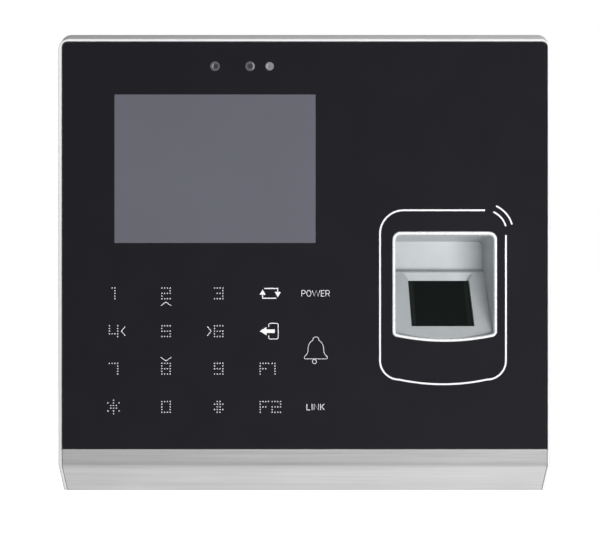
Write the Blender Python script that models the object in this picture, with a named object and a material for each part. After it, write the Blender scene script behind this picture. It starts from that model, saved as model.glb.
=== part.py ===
"""Wall-mounted fingerprint terminal with a touch keypad, a display and a card reading zone.

The origin is the centre of the wall plate's back face. X points right, Y into the wall and Z up, so
the front of the terminal faces -Y. All sizes below are in millimetres; MM turns them into metres.
"""

import math

import bmesh
import bpy
from mathutils import Vector

MM = 0.001
GAP = 0.3  # clearance between neighbouring pieces

# Front frame: outer size, and the slopes of its top and lower edges
HALF_WIDTH = 88.0
FRAME_TOP = 82.3
FRAME_BOTTOM = -83.2
FRONT_Y = -42.0
FRAME_BACK_Y = -16.0
RIM_TOP = 79.8
TOP_SLOPE_DEPTH = 5.0
CREASE_Z = -72.5
LOWER_SLOPE_DEPTH = 10.0
CORNER_RADIUS = 3.9
EDGE_BREAK = 0.4
CAVITY_HALF_WIDTH = 83.2
CAVITY_TOP = 76.6
LEDGE_Y = -38.1
BOTTOM_WALL = 2.5

# Glass front panel
GLASS_HALF_WIDTH = 86.5
GLASS_TOP = 78.8
GLASS_BOTTOM = -66.3
GLASS_FRONT_Y = -41.7
GLASS_BACK_Y = -38.7
GLASS_CORNER = 1.7

# Folded trim strip under the glass
STRIP_TOP = -66.5
STRIP_THICKNESS = 1.2
STRIP_RETURN_Y = -30.0

# Fingerprint recess: outline of its rim, seen from the front
WELL_LEFT = 31.25
WELL_RIGHT = 68.7
WELL_TOP = 11.2
WELL_BOTTOM = -26.5
WELL_BOW = 1.7
WELL_TOP_RADIUS = 2.9
WELL_BOTTOM_RADIUS = 2.1
WELL_RIM = 1.2
WELL_FLANGE = 1.5
WELL_FRONT_Y = -42.5
WELL_BACK_Y = -16.5
WELL_WALL_Y = -18.0
WELL_DRAFT = 0.4
CEILING_DROP = 1.9

# Tilted platform in the recess, and the window let into it
PLATFORM_DATUM = (-22.0, -4.0)  # (y, z) of the place that the slope is measured from
PLATFORM_TILT = math.radians(40.7)  # from the vertical
PLATFORM_CREST = -1.0  # down the slope from the platform's datum, where the ledge begins
PLATFORM_FOOT = 32.5
LEDGE_BACK_Z = -2.5
WINDOW_X = 49.87
WINDOW_HALF_WIDTH = 11.35
WINDOW_START = 2.0  # down the slope from the platform's datum
WINDOW_END = 24.8
WINDOW_DEPTH = 1.6
WINDOW_THICKNESS = 2.0
RAMP_SIDE = 2.2  # the ramp above the window widens by this much on each side
RAMP_RISE = 3.4

# Display and keypad
SCREEN_X = -32.0
SCREEN_Z = 33.6
LCD_HALF = (38.0, 30.0)
KEYPAD_LEFT = -80.0
KEYPAD_RIGHT = 13.0
KEYPAD_BOTTOM = -61.0
KEYPAD_TOP = -3.0

# Small windows above the display
CAMERA_X = -32.0
LIGHT_SENSOR_X = -19.5
FILL_LIGHT_X = -12.5
SMALL_WINDOWS_Z = 70.2

# Rear cover
COVER_FRONT_Y = -15.7
COVER_BACK_Y = -0.8
COVER_HALF_WIDTH = 86.6
COVER_TOP = 80.9
COVER_BOTTOM = -82.4
COVER_WALL = 2.4
COVER_INNER_Y = -8.0
COVER_OUTER_Y = -6.0
BAY = (-36.0, 26.0, 8.0, 44.0)  # x and z limits of the wiring bay

# Seal between the frame and the cover
SEAL_HALF_WIDTH = 85.4
SEAL_TOP = 79.7
SEAL_BOTTOM = -81.9
SEAL_WIDTH = 1.2

# Wall plate, its hooks and its lower lug
PLATE_THICKNESS = 1.6
PLATE_HALF_WIDTH = 62.0
PLATE_TOP = 74.0
PLATE_BOTTOM = -66.0
CABLE_OPENING = (-27.0, 27.0, 8.0, 42.0)
SLOT_HALF_WIDTH = 2.2
UPRIGHT_SLOT_HALF = 6.0
LEVEL_SLOT_HALF = 5.0
HOOK_X = 38.0
HOOK_HALF_WIDTH = 6.0
HOOK_Z = 66.0
HOOK_TIP_Z = 71.0
HOOK_TIP_Y = -14.0
LUG_Z = -79.0
LUG_FRONT_Y = -9.6
LUG_HALF_WIDTH = 9.0
LOCK_SCREW_Y = -6.0
LOCK_RECESS = 1.2  # depth of the head's recess in the cover's bottom wall

# Joint axes
SWING_AXIS = (0.0, -0.9, 80.0)  # the cover's heel on the wall, axis along -X
PLUNGER_X, PLUNGER_Z = -44.0, -30.0
RESET_X, RESET_Z = -12.0, -20.0
USB_X = -50.0
USB_HINGE_Y, USB_HINGE_Z = -18.7, -82.55

# Sound: both face the bottom wall
SPEAKER_X = 50.0
SPEAKER_Y = -23.5
MICROPHONE_X = 20.0

# Boards and the carrier: x and z limits, and faces
BOARD = (-80.0, 24.0, -66.0, 60.0)
BOARD_FRONT_Y = -18.8
BOARD_REAR_Y = -17.2
SENSOR_BOARD = (33.0, 67.0, -48.0, -6.0)
SENSOR_BOARD_Y = (-13.0, -11.8)
ANTENNA = (24.5, 75.5, -46.0, 22.0)
CARRIER = (-82.0, 26.0, -62.0, 75.5)
CARRIER_Y = (-33.0, -31.5)

# Screws
CASE_SCREWS = [(-79.2, 72.5), (79.2, 72.5), (-79.2, -74.0), (79.2, -74.0)]
BOARD_SCREWS = [(-74.0, 54.0), (18.0, 54.0), (-74.0, -60.0), (18.0, -60.0)]
SENSOR_SCREWS = [(37.0, -43.0), (63.0, -43.0)]
SCREW_RADIUS = 1.5
SCREW_HEAD = 2.8
SMALL_SCREW_RADIUS = 1.2
SMALL_HEAD = 2.2
CLEARANCE_RADIUS = 1.8

# Finishes: colour, roughness, metallic
SILVER_PAINT = ((0.78, 0.78, 0.79), 0.32, 0.55)
BLACK_GLASS = ((0.016, 0.015, 0.019), 0.08, 0.0)
BRUSHED_STEEL = ((0.62, 0.62, 0.62), 0.34, 1.0)
WELL_PAINT = ((0.60, 0.62, 0.63), 0.38, 0.6)
DARK_GLASS = ((0.008, 0.010, 0.009), 0.05, 0.0)
CLEAR_GLASS = ((0.75, 0.80, 0.80), 0.05, 0.0)
DISPLAY_GREY = ((0.13, 0.13, 0.16), 0.25, 0.0)
BLACK_PLASTIC = ((0.03, 0.03, 0.032), 0.55, 0.0)
WHITE_PLASTIC = ((0.80, 0.80, 0.78), 0.50, 0.0)
GREEN_PLASTIC = ((0.05, 0.30, 0.10), 0.45, 0.0)
BLUE_PLASTIC = ((0.06, 0.14, 0.42), 0.45, 0.0)
BOARD_GREEN = ((0.02, 0.14, 0.06), 0.40, 0.0)
POLYIMIDE = ((0.55, 0.28, 0.06), 0.40, 0.0)
PLATED_STEEL = ((0.55, 0.56, 0.57), 0.35, 1.0)
BLACK_RUBBER = ((0.02, 0.02, 0.02), 0.85, 0.0)


# ---- Scene and mesh helpers ----------------------------------------------------------------------


def clear_scene():
    for item in list(bpy.data.objects):
        bpy.data.objects.remove(item, do_unlink=True)


def empty(name, place, parent=None):
    item = bpy.data.objects.new(name, None)
    bpy.context.scene.collection.objects.link(item)
    item.location = Vector(place) * MM
    adopt(item, parent)
    return item


def adopt(item, parent):
    """Parents an object and leaves it where it is."""
    if parent is not None:
        item.parent = parent
        item.matrix_parent_inverse.identity()
        item.location = item.location - whole_location(parent)


def whole_location(item):
    place = item.location.copy()
    while item.parent is not None:
        item = item.parent
        place += item.location
    return place


def material(name, look):
    colour, roughness, metallic = look
    made = bpy.data.materials.new(name)
    made.use_nodes = True
    shader = made.node_tree.nodes["Principled BSDF"]
    shader.inputs["Base Color"].default_value = (*colour, 1.0)
    shader.inputs["Roughness"].default_value = roughness
    shader.inputs["Metallic"].default_value = metallic
    made.diffuse_color = (*colour, 1.0)
    return made


def make(name, shape, look, parent=None, origin=(0.0, 0.0, 0.0)):
    """Turns a shape, given in millimetres, into the named object of one sub-part."""
    bmesh.ops.translate(shape, verts=shape.verts, vec=-Vector(origin))
    bmesh.ops.scale(shape, verts=shape.verts, vec=(MM, MM, MM))
    bmesh.ops.recalc_face_normals(shape, faces=shape.faces)
    mesh = bpy.data.meshes.new(name)
    shape.to_mesh(mesh)
    shape.free()
    item = bpy.data.objects.new(name, mesh)
    bpy.context.scene.collection.objects.link(item)
    item.location = Vector(origin) * MM
    mesh.shade_smooth()
    mesh.set_sharp_from_angle(angle=math.radians(35))
    if look is not None:
        mesh.materials.append(material(name, look))
    adopt(item, parent)
    return item


def boolean(item, shape, operation):
    """Applies the shape to the item as a cutter, or as an addition."""
    count = len(item.modifiers)
    join(item, guide(f"{item.name}_{operation.lower()}_{count}", shape), operation)


def guide(name, shape):
    """An object that only shapes others."""
    item = make(name, shape, None)
    item.hide_render = True
    item.display_type = "WIRE"
    return item


def join(item, other, operation):
    step = item.modifiers.new(f"{operation.title()} {len(item.modifiers)}", "BOOLEAN")
    step.operation = operation
    step.object = other


def cut(item, shape):
    boolean(item, shape, "DIFFERENCE")


def fuse(item, shape):
    boolean(item, shape, "UNION")


def loft(shape, rings, ring_shaped=False):
    """Adds the closed body through the rings of (x, y, z) points; a ring-shaped one has no end faces."""
    rows = [[shape.verts.new(point) for point in ring] for ring in rings]
    pairs = list(zip(rows, rows[1:]))
    if ring_shaped:
        pairs.append((rows[-1], rows[0]))
    for lower, upper in pairs:
        for i, point in enumerate(lower):
            j = (i + 1) % len(lower)
            shape.faces.new((point, lower[j], upper[j], upper[i]))
    if not ring_shaped:
        shape.faces.new(rows[0])
        shape.faces.new(rows[-1])


def at_y(outline, y):
    return [(x, y, z) for x, z in outline]


def at_x(outline, x):
    return [(x, y, z) for y, z in outline]


def rectangle(left, right, bottom, top):
    return [(left, bottom), (right, bottom), (right, top), (left, top)]


def rounded(left, right, bottom, top, top_radius, bottom_radius, steps=5, bow=0.0, bow_steps=0):
    """A rectangle with rounded corners, whose lower edge may sag by bow."""
    corners = [
        (left + bottom_radius, bottom + bottom_radius, bottom_radius, 180),
        (right - bottom_radius, bottom + bottom_radius, bottom_radius, 270),
        (right - top_radius, top - top_radius, top_radius, 0),
        (left + top_radius, top - top_radius, top_radius, 90),
    ]
    points = []
    for index, (cx, cz, radius, start) in enumerate(corners):
        for step in range(steps + 1):
            angle = math.radians(start + 90 * step / steps)
            points.append((cx + radius * math.cos(angle), cz + radius * math.sin(angle)))
        if index == 0:
            span = right - left - 2 * bottom_radius
            for step in range(1, bow_steps):
                share = step / bow_steps
                sag = 4 * bow * share * (1 - share)
                points.append((left + bottom_radius + span * share, bottom - sag))
    return points


def prism(outline, y0, y1):
    """A body with an (x, z) outline, from y0 to y1."""
    shape = bmesh.new()
    loft(shape, [at_y(outline, y0), at_y(outline, y1)])
    return shape


def bar(outline, x0, x1):
    """A body with a (y, z) outline, from x0 to x1."""
    shape = bmesh.new()
    loft(shape, [at_x(outline, x0), at_x(outline, x1)])
    return shape


def box(x0, x1, y0, y1, z0, z1):
    return prism(rectangle(x0, x1, z0, z1), y0, y1)


def add(shape, other):
    """Moves the other shape's bodies into this shape."""
    copies = {point: shape.verts.new(point.co) for point in other.verts}
    for face in other.faces:
        shape.faces.new([copies[point] for point in face.verts])
    other.free()
    return shape


def band(outer, inner, y0, y1):
    """A ring-shaped body between two outlines with the same number of points."""
    shape = bmesh.new()
    rings = [at_y(outer, y0), at_y(outer, y1), at_y(inner, y1), at_y(inner, y0)]
    loft(shape, rings, ring_shaped=True)
    return shape


def turned(centre, axis, profile, steps=24):
    """A body turned about a line through centre along axis ("y" or "z").

    The profile lists (radius, place on the axis) from one end to the other. A third entry of True
    makes that ring a hexagon, with the radius as half its width across flats.
    """
    shape = bmesh.new()
    rings = []
    for radius, place, *hexagon in profile:
        ring = []
        for i in range(steps):
            angle = 2 * math.pi * i / steps
            reach = radius
            if hexagon:
                reach /= math.cos(angle % (math.pi / 3) - math.pi / 6)
            u, v = reach * math.cos(angle), reach * math.sin(angle)
            if axis == "y":
                ring.append((centre[0] + u, place, centre[1] + v))
            else:
                ring.append((centre[0] + u, centre[1] + v, place))
        rings.append(ring)
    loft(shape, rings)
    return shape


def ribbon(path, low, high, thickness, across="x"):
    """A flat cable from low to high across x, along (y, z) points; or across z, along (x, y) points."""
    shape = bmesh.new()
    rings = []
    for i, (a, b) in enumerate(path):
        before, after = path[max(i - 1, 0)], path[min(i + 1, len(path) - 1)]
        da, db = after[0] - before[0], after[1] - before[1]
        length = math.hypot(da, db)
        na, nb = -db / length * thickness / 2, da / length * thickness / 2
        corners = [
            (a + na, b + nb, low),
            (a + na, b + nb, high),
            (a - na, b - nb, high),
            (a - na, b - nb, low),
        ]
        if across == "x":
            rings.append([(w, p, q) for p, q, w in corners])
        else:
            rings.append([(p, q, w) for p, q, w in corners])
    loft(shape, rings)
    return shape


def arc(centre, radius, start, end, steps=5):
    angles = [math.radians(start + (end - start) * i / steps) for i in range(steps + 1)]
    return [(centre[0] + radius * math.cos(a), centre[1] + radius * math.sin(a)) for a in angles]


# ---- Front frame, glass and trim strip -----------------------------------------------------------


def folded_profile(depth, top=STRIP_TOP, back=STRIP_RETURN_Y):
    """The (y, z) line of the strip's outer face, moved depth millimetres into the terminal."""
    slope = (FRAME_BOTTOM - CREASE_Z) / LOWER_SLOPE_DEPTH
    shift = depth * math.hypot(1.0, slope)
    front, base = FRONT_Y + depth, FRAME_BOTTOM + depth
    fold_z = CREASE_Z + slope * (front - FRONT_Y) + shift
    heel_y = FRONT_Y + (base - CREASE_Z - shift) / slope
    return [(front, top), (front, fold_z), (heel_y, base), (back, base)]


def frame_outer():
    slope = (FRAME_BOTTOM - CREASE_Z) / LOWER_SLOPE_DEPTH
    half = HALF_WIDTH - EDGE_BREAK
    radius = CORNER_RADIUS - EDGE_BREAK
    broken_bottom = CREASE_Z + slope * EDGE_BREAK
    rise = (FRAME_TOP - RIM_TOP) / TOP_SLOPE_DEPTH
    broken_top = RIM_TOP + rise * EDGE_BREAK
    sections = [
        (FRONT_Y, half, RIM_TOP, CREASE_Z, radius, 0.6),
        (FRONT_Y + EDGE_BREAK, HALF_WIDTH, broken_top, broken_bottom, CORNER_RADIUS, 1.0),
        (
            FRONT_Y + TOP_SLOPE_DEPTH,
            HALF_WIDTH,
            FRAME_TOP,
            CREASE_Z + slope * TOP_SLOPE_DEPTH,
            CORNER_RADIUS,
            1.0,
        ),
        (FRONT_Y + LOWER_SLOPE_DEPTH, HALF_WIDTH, FRAME_TOP, FRAME_BOTTOM, CORNER_RADIUS, 1.0),
        (FRAME_BACK_Y, HALF_WIDTH, FRAME_TOP, FRAME_BOTTOM, CORNER_RADIUS, 1.0),
    ]
    shape = bmesh.new()
    rings = []
    for y, width, top, bottom, top_radius, bottom_radius in sections:
        outline = rounded(-width, width, bottom, top, top_radius, bottom_radius)
        rings.append(at_y(outline, y))
    loft(shape, rings)
    return shape


def frame_cavity():
    """Open through the front above the cross rail, and closed behind the strip below it."""
    floor = 3.7
    inner = folded_profile(floor)
    base = FRAME_BOTTOM + BOTTOM_WALL
    slope = (FRAME_BOTTOM - CREASE_Z) / LOWER_SLOPE_DEPTH
    heel_y = FRONT_Y + (base - CREASE_Z - floor * math.hypot(1.0, slope)) / slope
    outline = [
        (FRONT_Y - 8, CAVITY_TOP),
        (0.0, CAVITY_TOP),
        (0.0, base),
        (heel_y, base),
        inner[1],
        (inner[1][0], -69.0),
        (-36.0, -69.0),
        (-36.0, -63.0),
        (FRONT_Y - 8, -63.0),
    ]
    return bar(outline, -CAVITY_HALF_WIDTH, CAVITY_HALF_WIDTH)


def bottom_openings():
    """Cutters through the bottom wall: the USB mouth, the speaker's slots, the microphone's hole."""
    deep, below = FRAME_BOTTOM + 4.0, FRAME_BOTTOM - 2.0
    shape = box(USB_X - 7.2, USB_X + 7.2, -26.5, -19.8, below, deep)
    for slot in range(5):
        x = SPEAKER_X + (slot - 2) * 3.4
        add(shape, box(x - 0.8, x + 0.8, -27.0, -20.0, below, deep))
    add(shape, turned((MICROPHONE_X, SPEAKER_Y), "z", [(0.8, below), (0.8, deep)], 12))
    return shape


def front_frame(parent):
    frame = make("front_frame", frame_outer(), SILVER_PAINT, parent)
    side = GLASS_HALF_WIDTH + GAP
    pocket = rounded(-side, side, GLASS_BOTTOM - 0.7, GLASS_TOP + GAP, GLASS_CORNER + GAP, 0.1)
    cut(frame, prism(pocket, FRONT_Y - 8, LEDGE_Y))
    seat = folded_profile(STRIP_THICKNESS + GAP, top=GLASS_BOTTOM - 0.4, back=STRIP_RETURN_Y + GAP)
    low, before = FRAME_BOTTOM - 9, FRONT_Y - 9
    outside = [(seat[-1][0], low), (before, low), (before, seat[0][1])]
    cut(frame, bar(seat + outside, -side, side))
    cut(frame, frame_cavity())
    bosses = bmesh.new()
    for x, z in CASE_SCREWS:
        add(bosses, turned((x, z), "y", [(3.6, -30.0), (3.6, FRAME_BACK_Y)]))
    fuse(frame, bosses)
    ribs = bmesh.new()
    for x, z in CASE_SCREWS:
        inner, outer = sorted((x, math.copysign(CAVITY_HALF_WIDTH + 0.8, x)))
        add(ribs, box(inner, outer, -29.6, FRAME_BACK_Y - 0.4, z - 2.0, z + 2.0))
    fuse(frame, ribs)
    holes = bmesh.new()
    for x, z in CASE_SCREWS:
        add(holes, turned((x, z), "y", [(CLEARANCE_RADIUS, -27.0), (CLEARANCE_RADIUS, -10.0)], 18))
    cut(frame, holes)
    groove = SEAL_WIDTH / 2 + 0.15
    cut(frame, band(seal_outline(groove), seal_outline(-groove), -17.3, -12.0))
    cut(frame, bottom_openings())
    recess = box(USB_X - 9.7, USB_X + 9.7, -28.6, -17.6, FRAME_BOTTOM - 2.0, FRAME_BOTTOM + 1.4)
    cut(frame, recess)
    return frame


def front_glass(parent):
    outline = rounded(-GLASS_HALF_WIDTH, GLASS_HALF_WIDTH, GLASS_BOTTOM, GLASS_TOP, GLASS_CORNER, 0.1)
    glass = make("front_glass", prism(outline, GLASS_FRONT_Y, GLASS_BACK_Y), BLACK_GLASS, parent)
    cut(glass, prism(well_outline(-GAP), FRONT_Y - 4, GLASS_BACK_Y + 4))
    return glass


def glass_tape(parent):
    """Adhesive band between the glass and the frame's ledge."""
    outer = rectangle(-86.2, 86.2, GLASS_BOTTOM + 0.2, 78.5)
    inner = rectangle(-84.2, 84.2, GLASS_BOTTOM + 2.4, 77.2)
    tape = band(outer, inner, GLASS_BACK_Y + 0.15, LEDGE_Y - 0.15)
    return make("glass_tape", tape, BLACK_RUBBER, parent)


def trim_strip(parent):
    outer, inner = folded_profile(0.0), folded_profile(STRIP_THICKNESS)
    strip = bar(outer + inner[::-1], -GLASS_HALF_WIDTH, GLASS_HALF_WIDTH)
    return make("trim_strip", strip, BRUSHED_STEEL, parent)


# ---- Fingerprint reader --------------------------------------------------------------------------


def well_outline(inset, draft=0.0, drop=0.0):
    """The recess outline moved inwards; draft narrows its sides and drop lowers its top."""
    top_radius = max(WELL_TOP_RADIUS - inset, 0.8)
    bottom_radius = max(WELL_BOTTOM_RADIUS - inset, 0.8)
    return rounded(
        WELL_LEFT + inset + draft,
        WELL_RIGHT - inset - draft,
        WELL_BOTTOM + inset,
        WELL_TOP - inset - drop,
        top_radius,
        bottom_radius,
        bow=WELL_BOW,
        bow_steps=10,
    )


def on_platform(down, depth):
    """The (y, z) place that far down the platform's slope and that deep under its surface."""
    sine, cosine = math.sin(PLATFORM_TILT), math.cos(PLATFORM_TILT)
    y = PLATFORM_DATUM[0] - down * sine + depth * cosine
    z = PLATFORM_DATUM[1] - down * cosine - depth * sine
    return y, z


def platform_block(half_width, start, end, shallow, deep):
    """A block square to the platform."""
    shape = bmesh.new()
    left, right = WINDOW_X - half_width, WINDOW_X + half_width
    rings = []
    for depth in (shallow, deep):
        upper, lower = on_platform(start, depth), on_platform(end, depth)
        rings.append([(left, *upper), (right, *upper), (right, *lower), (left, *lower)])
    loft(shape, rings)
    return shape


def window_ramp():
    """Cutter for the ramp that leads down to the window's upper edge, wider at its top."""
    shape = bmesh.new()
    rings = []
    for depth, side, rise in ((-0.6, RAMP_SIDE, RAMP_RISE), (WINDOW_DEPTH, 0.0, 0.0)):
        upper, lower = on_platform(WINDOW_START - rise, depth), on_platform(WINDOW_START + 0.3, depth)
        half = WINDOW_HALF_WIDTH
        rings.append([
            (WINDOW_X - half - side, *upper), (WINDOW_X + half + side, *upper),
            (WINDOW_X + half, *lower), (WINDOW_X - half, *lower),
        ])
    loft(shape, rings)
    return shape


def well_cavity(well):
    """Cuts the finger recess: everything in front of the platform, the ledge and the back wall."""
    depth = WELL_WALL_Y - WELL_FRONT_Y
    overshoot = 2.0
    tilt = overshoot / depth
    front = well_outline(WELL_RIM, -WELL_DRAFT * tilt, -CEILING_DROP * tilt)
    back = well_outline(WELL_RIM, WELL_DRAFT * (1 + tilt), CEILING_DROP * (1 + tilt))
    shape = bmesh.new()
    loft(shape, [at_y(front, WELL_FRONT_Y - overshoot), at_y(back, WELL_WALL_Y + overshoot)])
    cavity = guide("sensor_well_recess", shape)
    foot = on_platform(PLATFORM_FOOT, 0.0)
    before, above = WELL_FRONT_Y - overshoot - 1, WELL_TOP + 9
    limit = [
        (before, foot[1]),
        foot,
        on_platform(PLATFORM_CREST, 0.0),
        (WELL_WALL_Y, LEDGE_BACK_Z),
        (WELL_WALL_Y, above),
        (before, above),
    ]
    join(cavity, guide("sensor_well_limit", bar(limit, WELL_LEFT - 5, WELL_RIGHT + 5)), "INTERSECT")
    join(well, cavity, "DIFFERENCE")


def sensor_well(parent):
    shape = prism(well_outline(0.0), WELL_FRONT_Y + 0.5, WELL_BACK_Y)
    well = make("sensor_well", shape, WELL_PAINT, parent)
    lip = bmesh.new()
    lip_rings = [
        at_y(well_outline(0.5), WELL_FRONT_Y),
        at_y(well_outline(0.15), WELL_FRONT_Y + 0.2),
        at_y(well_outline(0.0), WELL_FRONT_Y + 0.6),
        at_y(well_outline(0.0), WELL_FRONT_Y + 2.0),
    ]
    loft(lip, lip_rings)
    fuse(well, lip)
    flange = well_outline(-WELL_FLANGE)
    fuse(well, prism(flange, GLASS_BACK_Y + GAP, GLASS_BACK_Y + 1.5))
    well_cavity(well)
    cut(well, platform_block(WINDOW_HALF_WIDTH, WINDOW_START, WINDOW_END, -0.6, WINDOW_DEPTH))
    cut(well, window_ramp())
    seat = WINDOW_DEPTH + WINDOW_THICKNESS + GAP
    cut(well, platform_block(WINDOW_HALF_WIDTH, WINDOW_START, WINDOW_END, WINDOW_DEPTH - 0.3, seat))
    border = 1.4  # the seat's width round the hole under the window
    hole = (WINDOW_HALF_WIDTH - border, WINDOW_START + border, WINDOW_END - border)
    cut(well, platform_block(*hole, seat - 0.5, 9.0))
    top, base = -7.5, -24.5
    shell = 5.4
    slope = math.tan(PLATFORM_TILT)
    near = on_platform(0.0, shell)
    upper_y = near[0] + (top - near[1]) * slope
    lower_y = near[0] + (base - near[1]) * slope
    pocket = [(upper_y, top), (lower_y, base), (0.0, base), (0.0, top)]
    cut(well, bar(pocket, WINDOW_X - 13.5, WINDOW_X + 13.5))
    return well


def sensor_window(parent):
    play = 0.2
    shape = platform_block(
        WINDOW_HALF_WIDTH - play,
        WINDOW_START + play,
        WINDOW_END - play,
        WINDOW_DEPTH,
        WINDOW_DEPTH + WINDOW_THICKNESS,
    )
    return make("sensor_window", shape, DARK_GLASS, parent)


def sensor_prism(parent):
    depth = WINDOW_DEPTH + WINDOW_THICKNESS + GAP
    upper, lower = on_platform(4.4, depth), on_platform(22.1, depth)
    outline = [upper, lower, (-20.5, lower[1]), (-20.5, upper[1] - 1.2)]
    return make("sensor_prism", bar(outline, WINDOW_X - 9.0, WINDOW_X + 9.0), CLEAR_GLASS, parent)


def sensor_camera(parent):
    z = -17.0
    shape = turned((WINDOW_X, z), "y", [(2.2, -20.0), (3.6, -20.0), (3.6, -15.5), (3.0, -15.4)])
    camera = make("sensor_camera", shape, BLACK_PLASTIC, parent)
    fuse(camera, box(WINDOW_X - 5.5, WINDOW_X + 5.5, -16.2, SENSOR_BOARD_Y[0] - GAP, z - 5.5, z + 5.5))
    return camera


def sensor_board(parent):
    outline = rectangle(*SENSOR_BOARD)
    board = make("sensor_board", prism(outline, *SENSOR_BOARD_Y), BOARD_GREEN, parent)
    cut(board, screw_holes(SENSOR_SCREWS, 1.5, SENSOR_BOARD_Y[0] - 3, SENSOR_BOARD_Y[1] + 3))
    return board


def card_antenna(parent):
    outline = rounded(*ANTENNA, 3.0, 3.0, steps=3)
    shape = prism(outline, GLASS_BACK_Y + GAP, GLASS_BACK_Y + 1.3)
    board = make("card_antenna", shape, BOARD_GREEN, parent)
    cut(board, prism(well_outline(-WELL_FLANGE - 0.4), GLASS_BACK_Y - 2, GLASS_BACK_Y + 4))
    return board


def sensor_cable(parent):
    """Flat cable from the main board's front, round its edge, to the sensor board."""
    start, end = (14.0, BOARD_FRONT_Y - 0.35), (42.0, SENSOR_BOARD_Y[0] - 0.35)
    ramp = (25.0, 37.0)
    steps = 8
    path = [start]
    for i in range(steps + 1):
        share = i / steps
        ease = share * share * (3 - 2 * share)
        path.append((ramp[0] + (ramp[1] - ramp[0]) * share, start[1] + (end[1] - start[1]) * ease))
    path.append(end)
    return make("sensor_cable", ribbon(path, -38.0, -30.0, 0.3, across="z"), POLYIMIDE, parent)


# ---- Display, keypad and the pieces behind the small windows -------------------------------------


def lcd_outline(margin):
    half_x, half_z = LCD_HALF
    return rectangle(
        SCREEN_X - half_x - margin,
        SCREEN_X + half_x + margin,
        SCREEN_Z - half_z - margin,
        SCREEN_Z + half_z + margin,
    )


def lcd_panel(parent):
    return make("lcd_panel", prism(lcd_outline(0.0), -38.35, -36.75), DISPLAY_GREY, parent)


def lcd_backlight(parent):
    return make("lcd_backlight", prism(lcd_outline(0.0), -36.45, -34.35), WHITE_PLASTIC, parent)


def lcd_frame(parent):
    """Folded steel tray round the display."""
    front, back = GLASS_BACK_Y + GAP, -33.3
    tray = make("lcd_frame", prism(lcd_outline(1.2), front, back), PLATED_STEEL, parent)
    cut(tray, prism(lcd_outline(GAP), front - 2, back - 0.75))
    cut(tray, box(SCREEN_X - 11.5, SCREEN_X + 11.5, -36.7, -34.2, 0.0, 5.0))
    return tray


def lcd_flex(parent):
    """Ribbon from under the display, back through the carrier, to the main board."""
    start_z = SCREEN_Z - LCD_HALF[1] - 0.4
    turn = 1.6
    front_y, down_z, back_y = -35.4, -1.0, -20.6
    path = [(front_y, start_z)]
    path += arc((front_y + turn, down_z + turn), turn, 180, 270)
    path += arc((back_y - turn, down_z - turn), turn, 90, 0)
    path.append((back_y, -9.0))
    return make("lcd_flex", ribbon(path, SCREEN_X - 10.5, SCREEN_X + 10.5, 0.3), POLYIMIDE, parent)


def keypad_sheet(name, front, back, look, parent):
    outline = rectangle(KEYPAD_LEFT, KEYPAD_RIGHT, KEYPAD_BOTTOM, KEYPAD_TOP)
    return make(name, prism(outline, front, back), look, parent)


def keypad(parent):
    """Touch film against the glass, then the light guide, then the board with the key lights."""
    keypad_sheet("touch_key_film", -38.4, -38.0, POLYIMIDE, parent)
    keypad_sheet("key_light_guide", -37.7, -36.2, WHITE_PLASTIC, parent)
    keypad_sheet("key_led_board", -35.9, -34.9, BOARD_GREEN, parent)


def camera_barrel(parent):
    profile = [(3.4, -34.5), (3.4, -37.9), (2.5, -37.9), (2.3, -36.2)]
    barrel = turned((CAMERA_X, SMALL_WINDOWS_Z), "y", profile[::-1])
    barrel_piece = make("camera_barrel", barrel, BLACK_PLASTIC, parent)
    z0, z1 = SMALL_WINDOWS_Z - 4.0, SMALL_WINDOWS_Z + 4.5
    fuse(barrel_piece, box(CAMERA_X - 4.5, CAMERA_X + 4.5, -35.0, -33.3, z0, z1))
    return barrel_piece


def camera_lens(parent):
    profile = [(0.5, -37.75), (1.3, -37.6), (1.9, -37.2), (1.9, -36.5)]
    return make("camera_lens", turned((CAMERA_X, SMALL_WINDOWS_Z), "y", profile), DARK_GLASS, parent)


def camera_board(parent):
    return make("camera_board", box(-38.0, -8.0, -33.0, -32.0, 66.0, 75.0), BOARD_GREEN, parent)


def light_sensor(parent):
    profile = [(1.2, -38.1), (2.0, -37.6), (2.0, -33.3)]
    shape = turned((LIGHT_SENSOR_X, SMALL_WINDOWS_Z), "y", profile, 18)
    return make("light_sensor", shape, BLACK_PLASTIC, parent)


def fill_light(parent):
    profile = [(0.6, -38.2), (1.3, -37.8), (1.6, -37.0), (1.6, -34.2), (1.9, -34.2), (1.9, -33.3)]
    shape = turned((FILL_LIGHT_X, SMALL_WINDOWS_Z), "y", profile, 18)
    return make("fill_light", shape, CLEAR_GLASS, parent)


def inner_carrier(parent):
    """Plate that holds the display, keypad and camera against the glass."""
    carrier = make("inner_carrier", prism(rectangle(*CARRIER), *CARRIER_Y), BLACK_PLASTIC, parent)
    front, back = CARRIER_Y[0] - 2.0, CARRIER_Y[1] + 2.0
    camera_notch = box(-40.0, -6.0, front, back, 65.5, CARRIER[3] + 2.5)
    flex_slot = box(SCREEN_X - 13.0, SCREEN_X + 13.0, front, back, -4.0, 2.0)
    openings = add(camera_notch, flex_slot)
    for side in (-1, 1):
        x = SCREEN_X + side * 23.0
        add(openings, box(x - 13.0, x + 13.0, front, back, 14.0, 54.0))
    cut(carrier, openings)
    return carrier


# ---- Main board and what it carries --------------------------------------------------------------


def screw_holes(places, radius, y0, y1):
    holes = bmesh.new()
    for x, z in places:
        add(holes, turned((x, z), "y", [(radius, y0), (radius, y1)], 12))
    return holes


def main_board(parent):
    shape = prism(rectangle(*BOARD), BOARD_FRONT_Y, BOARD_REAR_Y)
    board = make("main_board", shape, BOARD_GREEN, parent)
    cut(board, screw_holes(BOARD_SCREWS, 1.5, BOARD_FRONT_Y - 3, BOARD_REAR_Y + 3))
    return board


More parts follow.
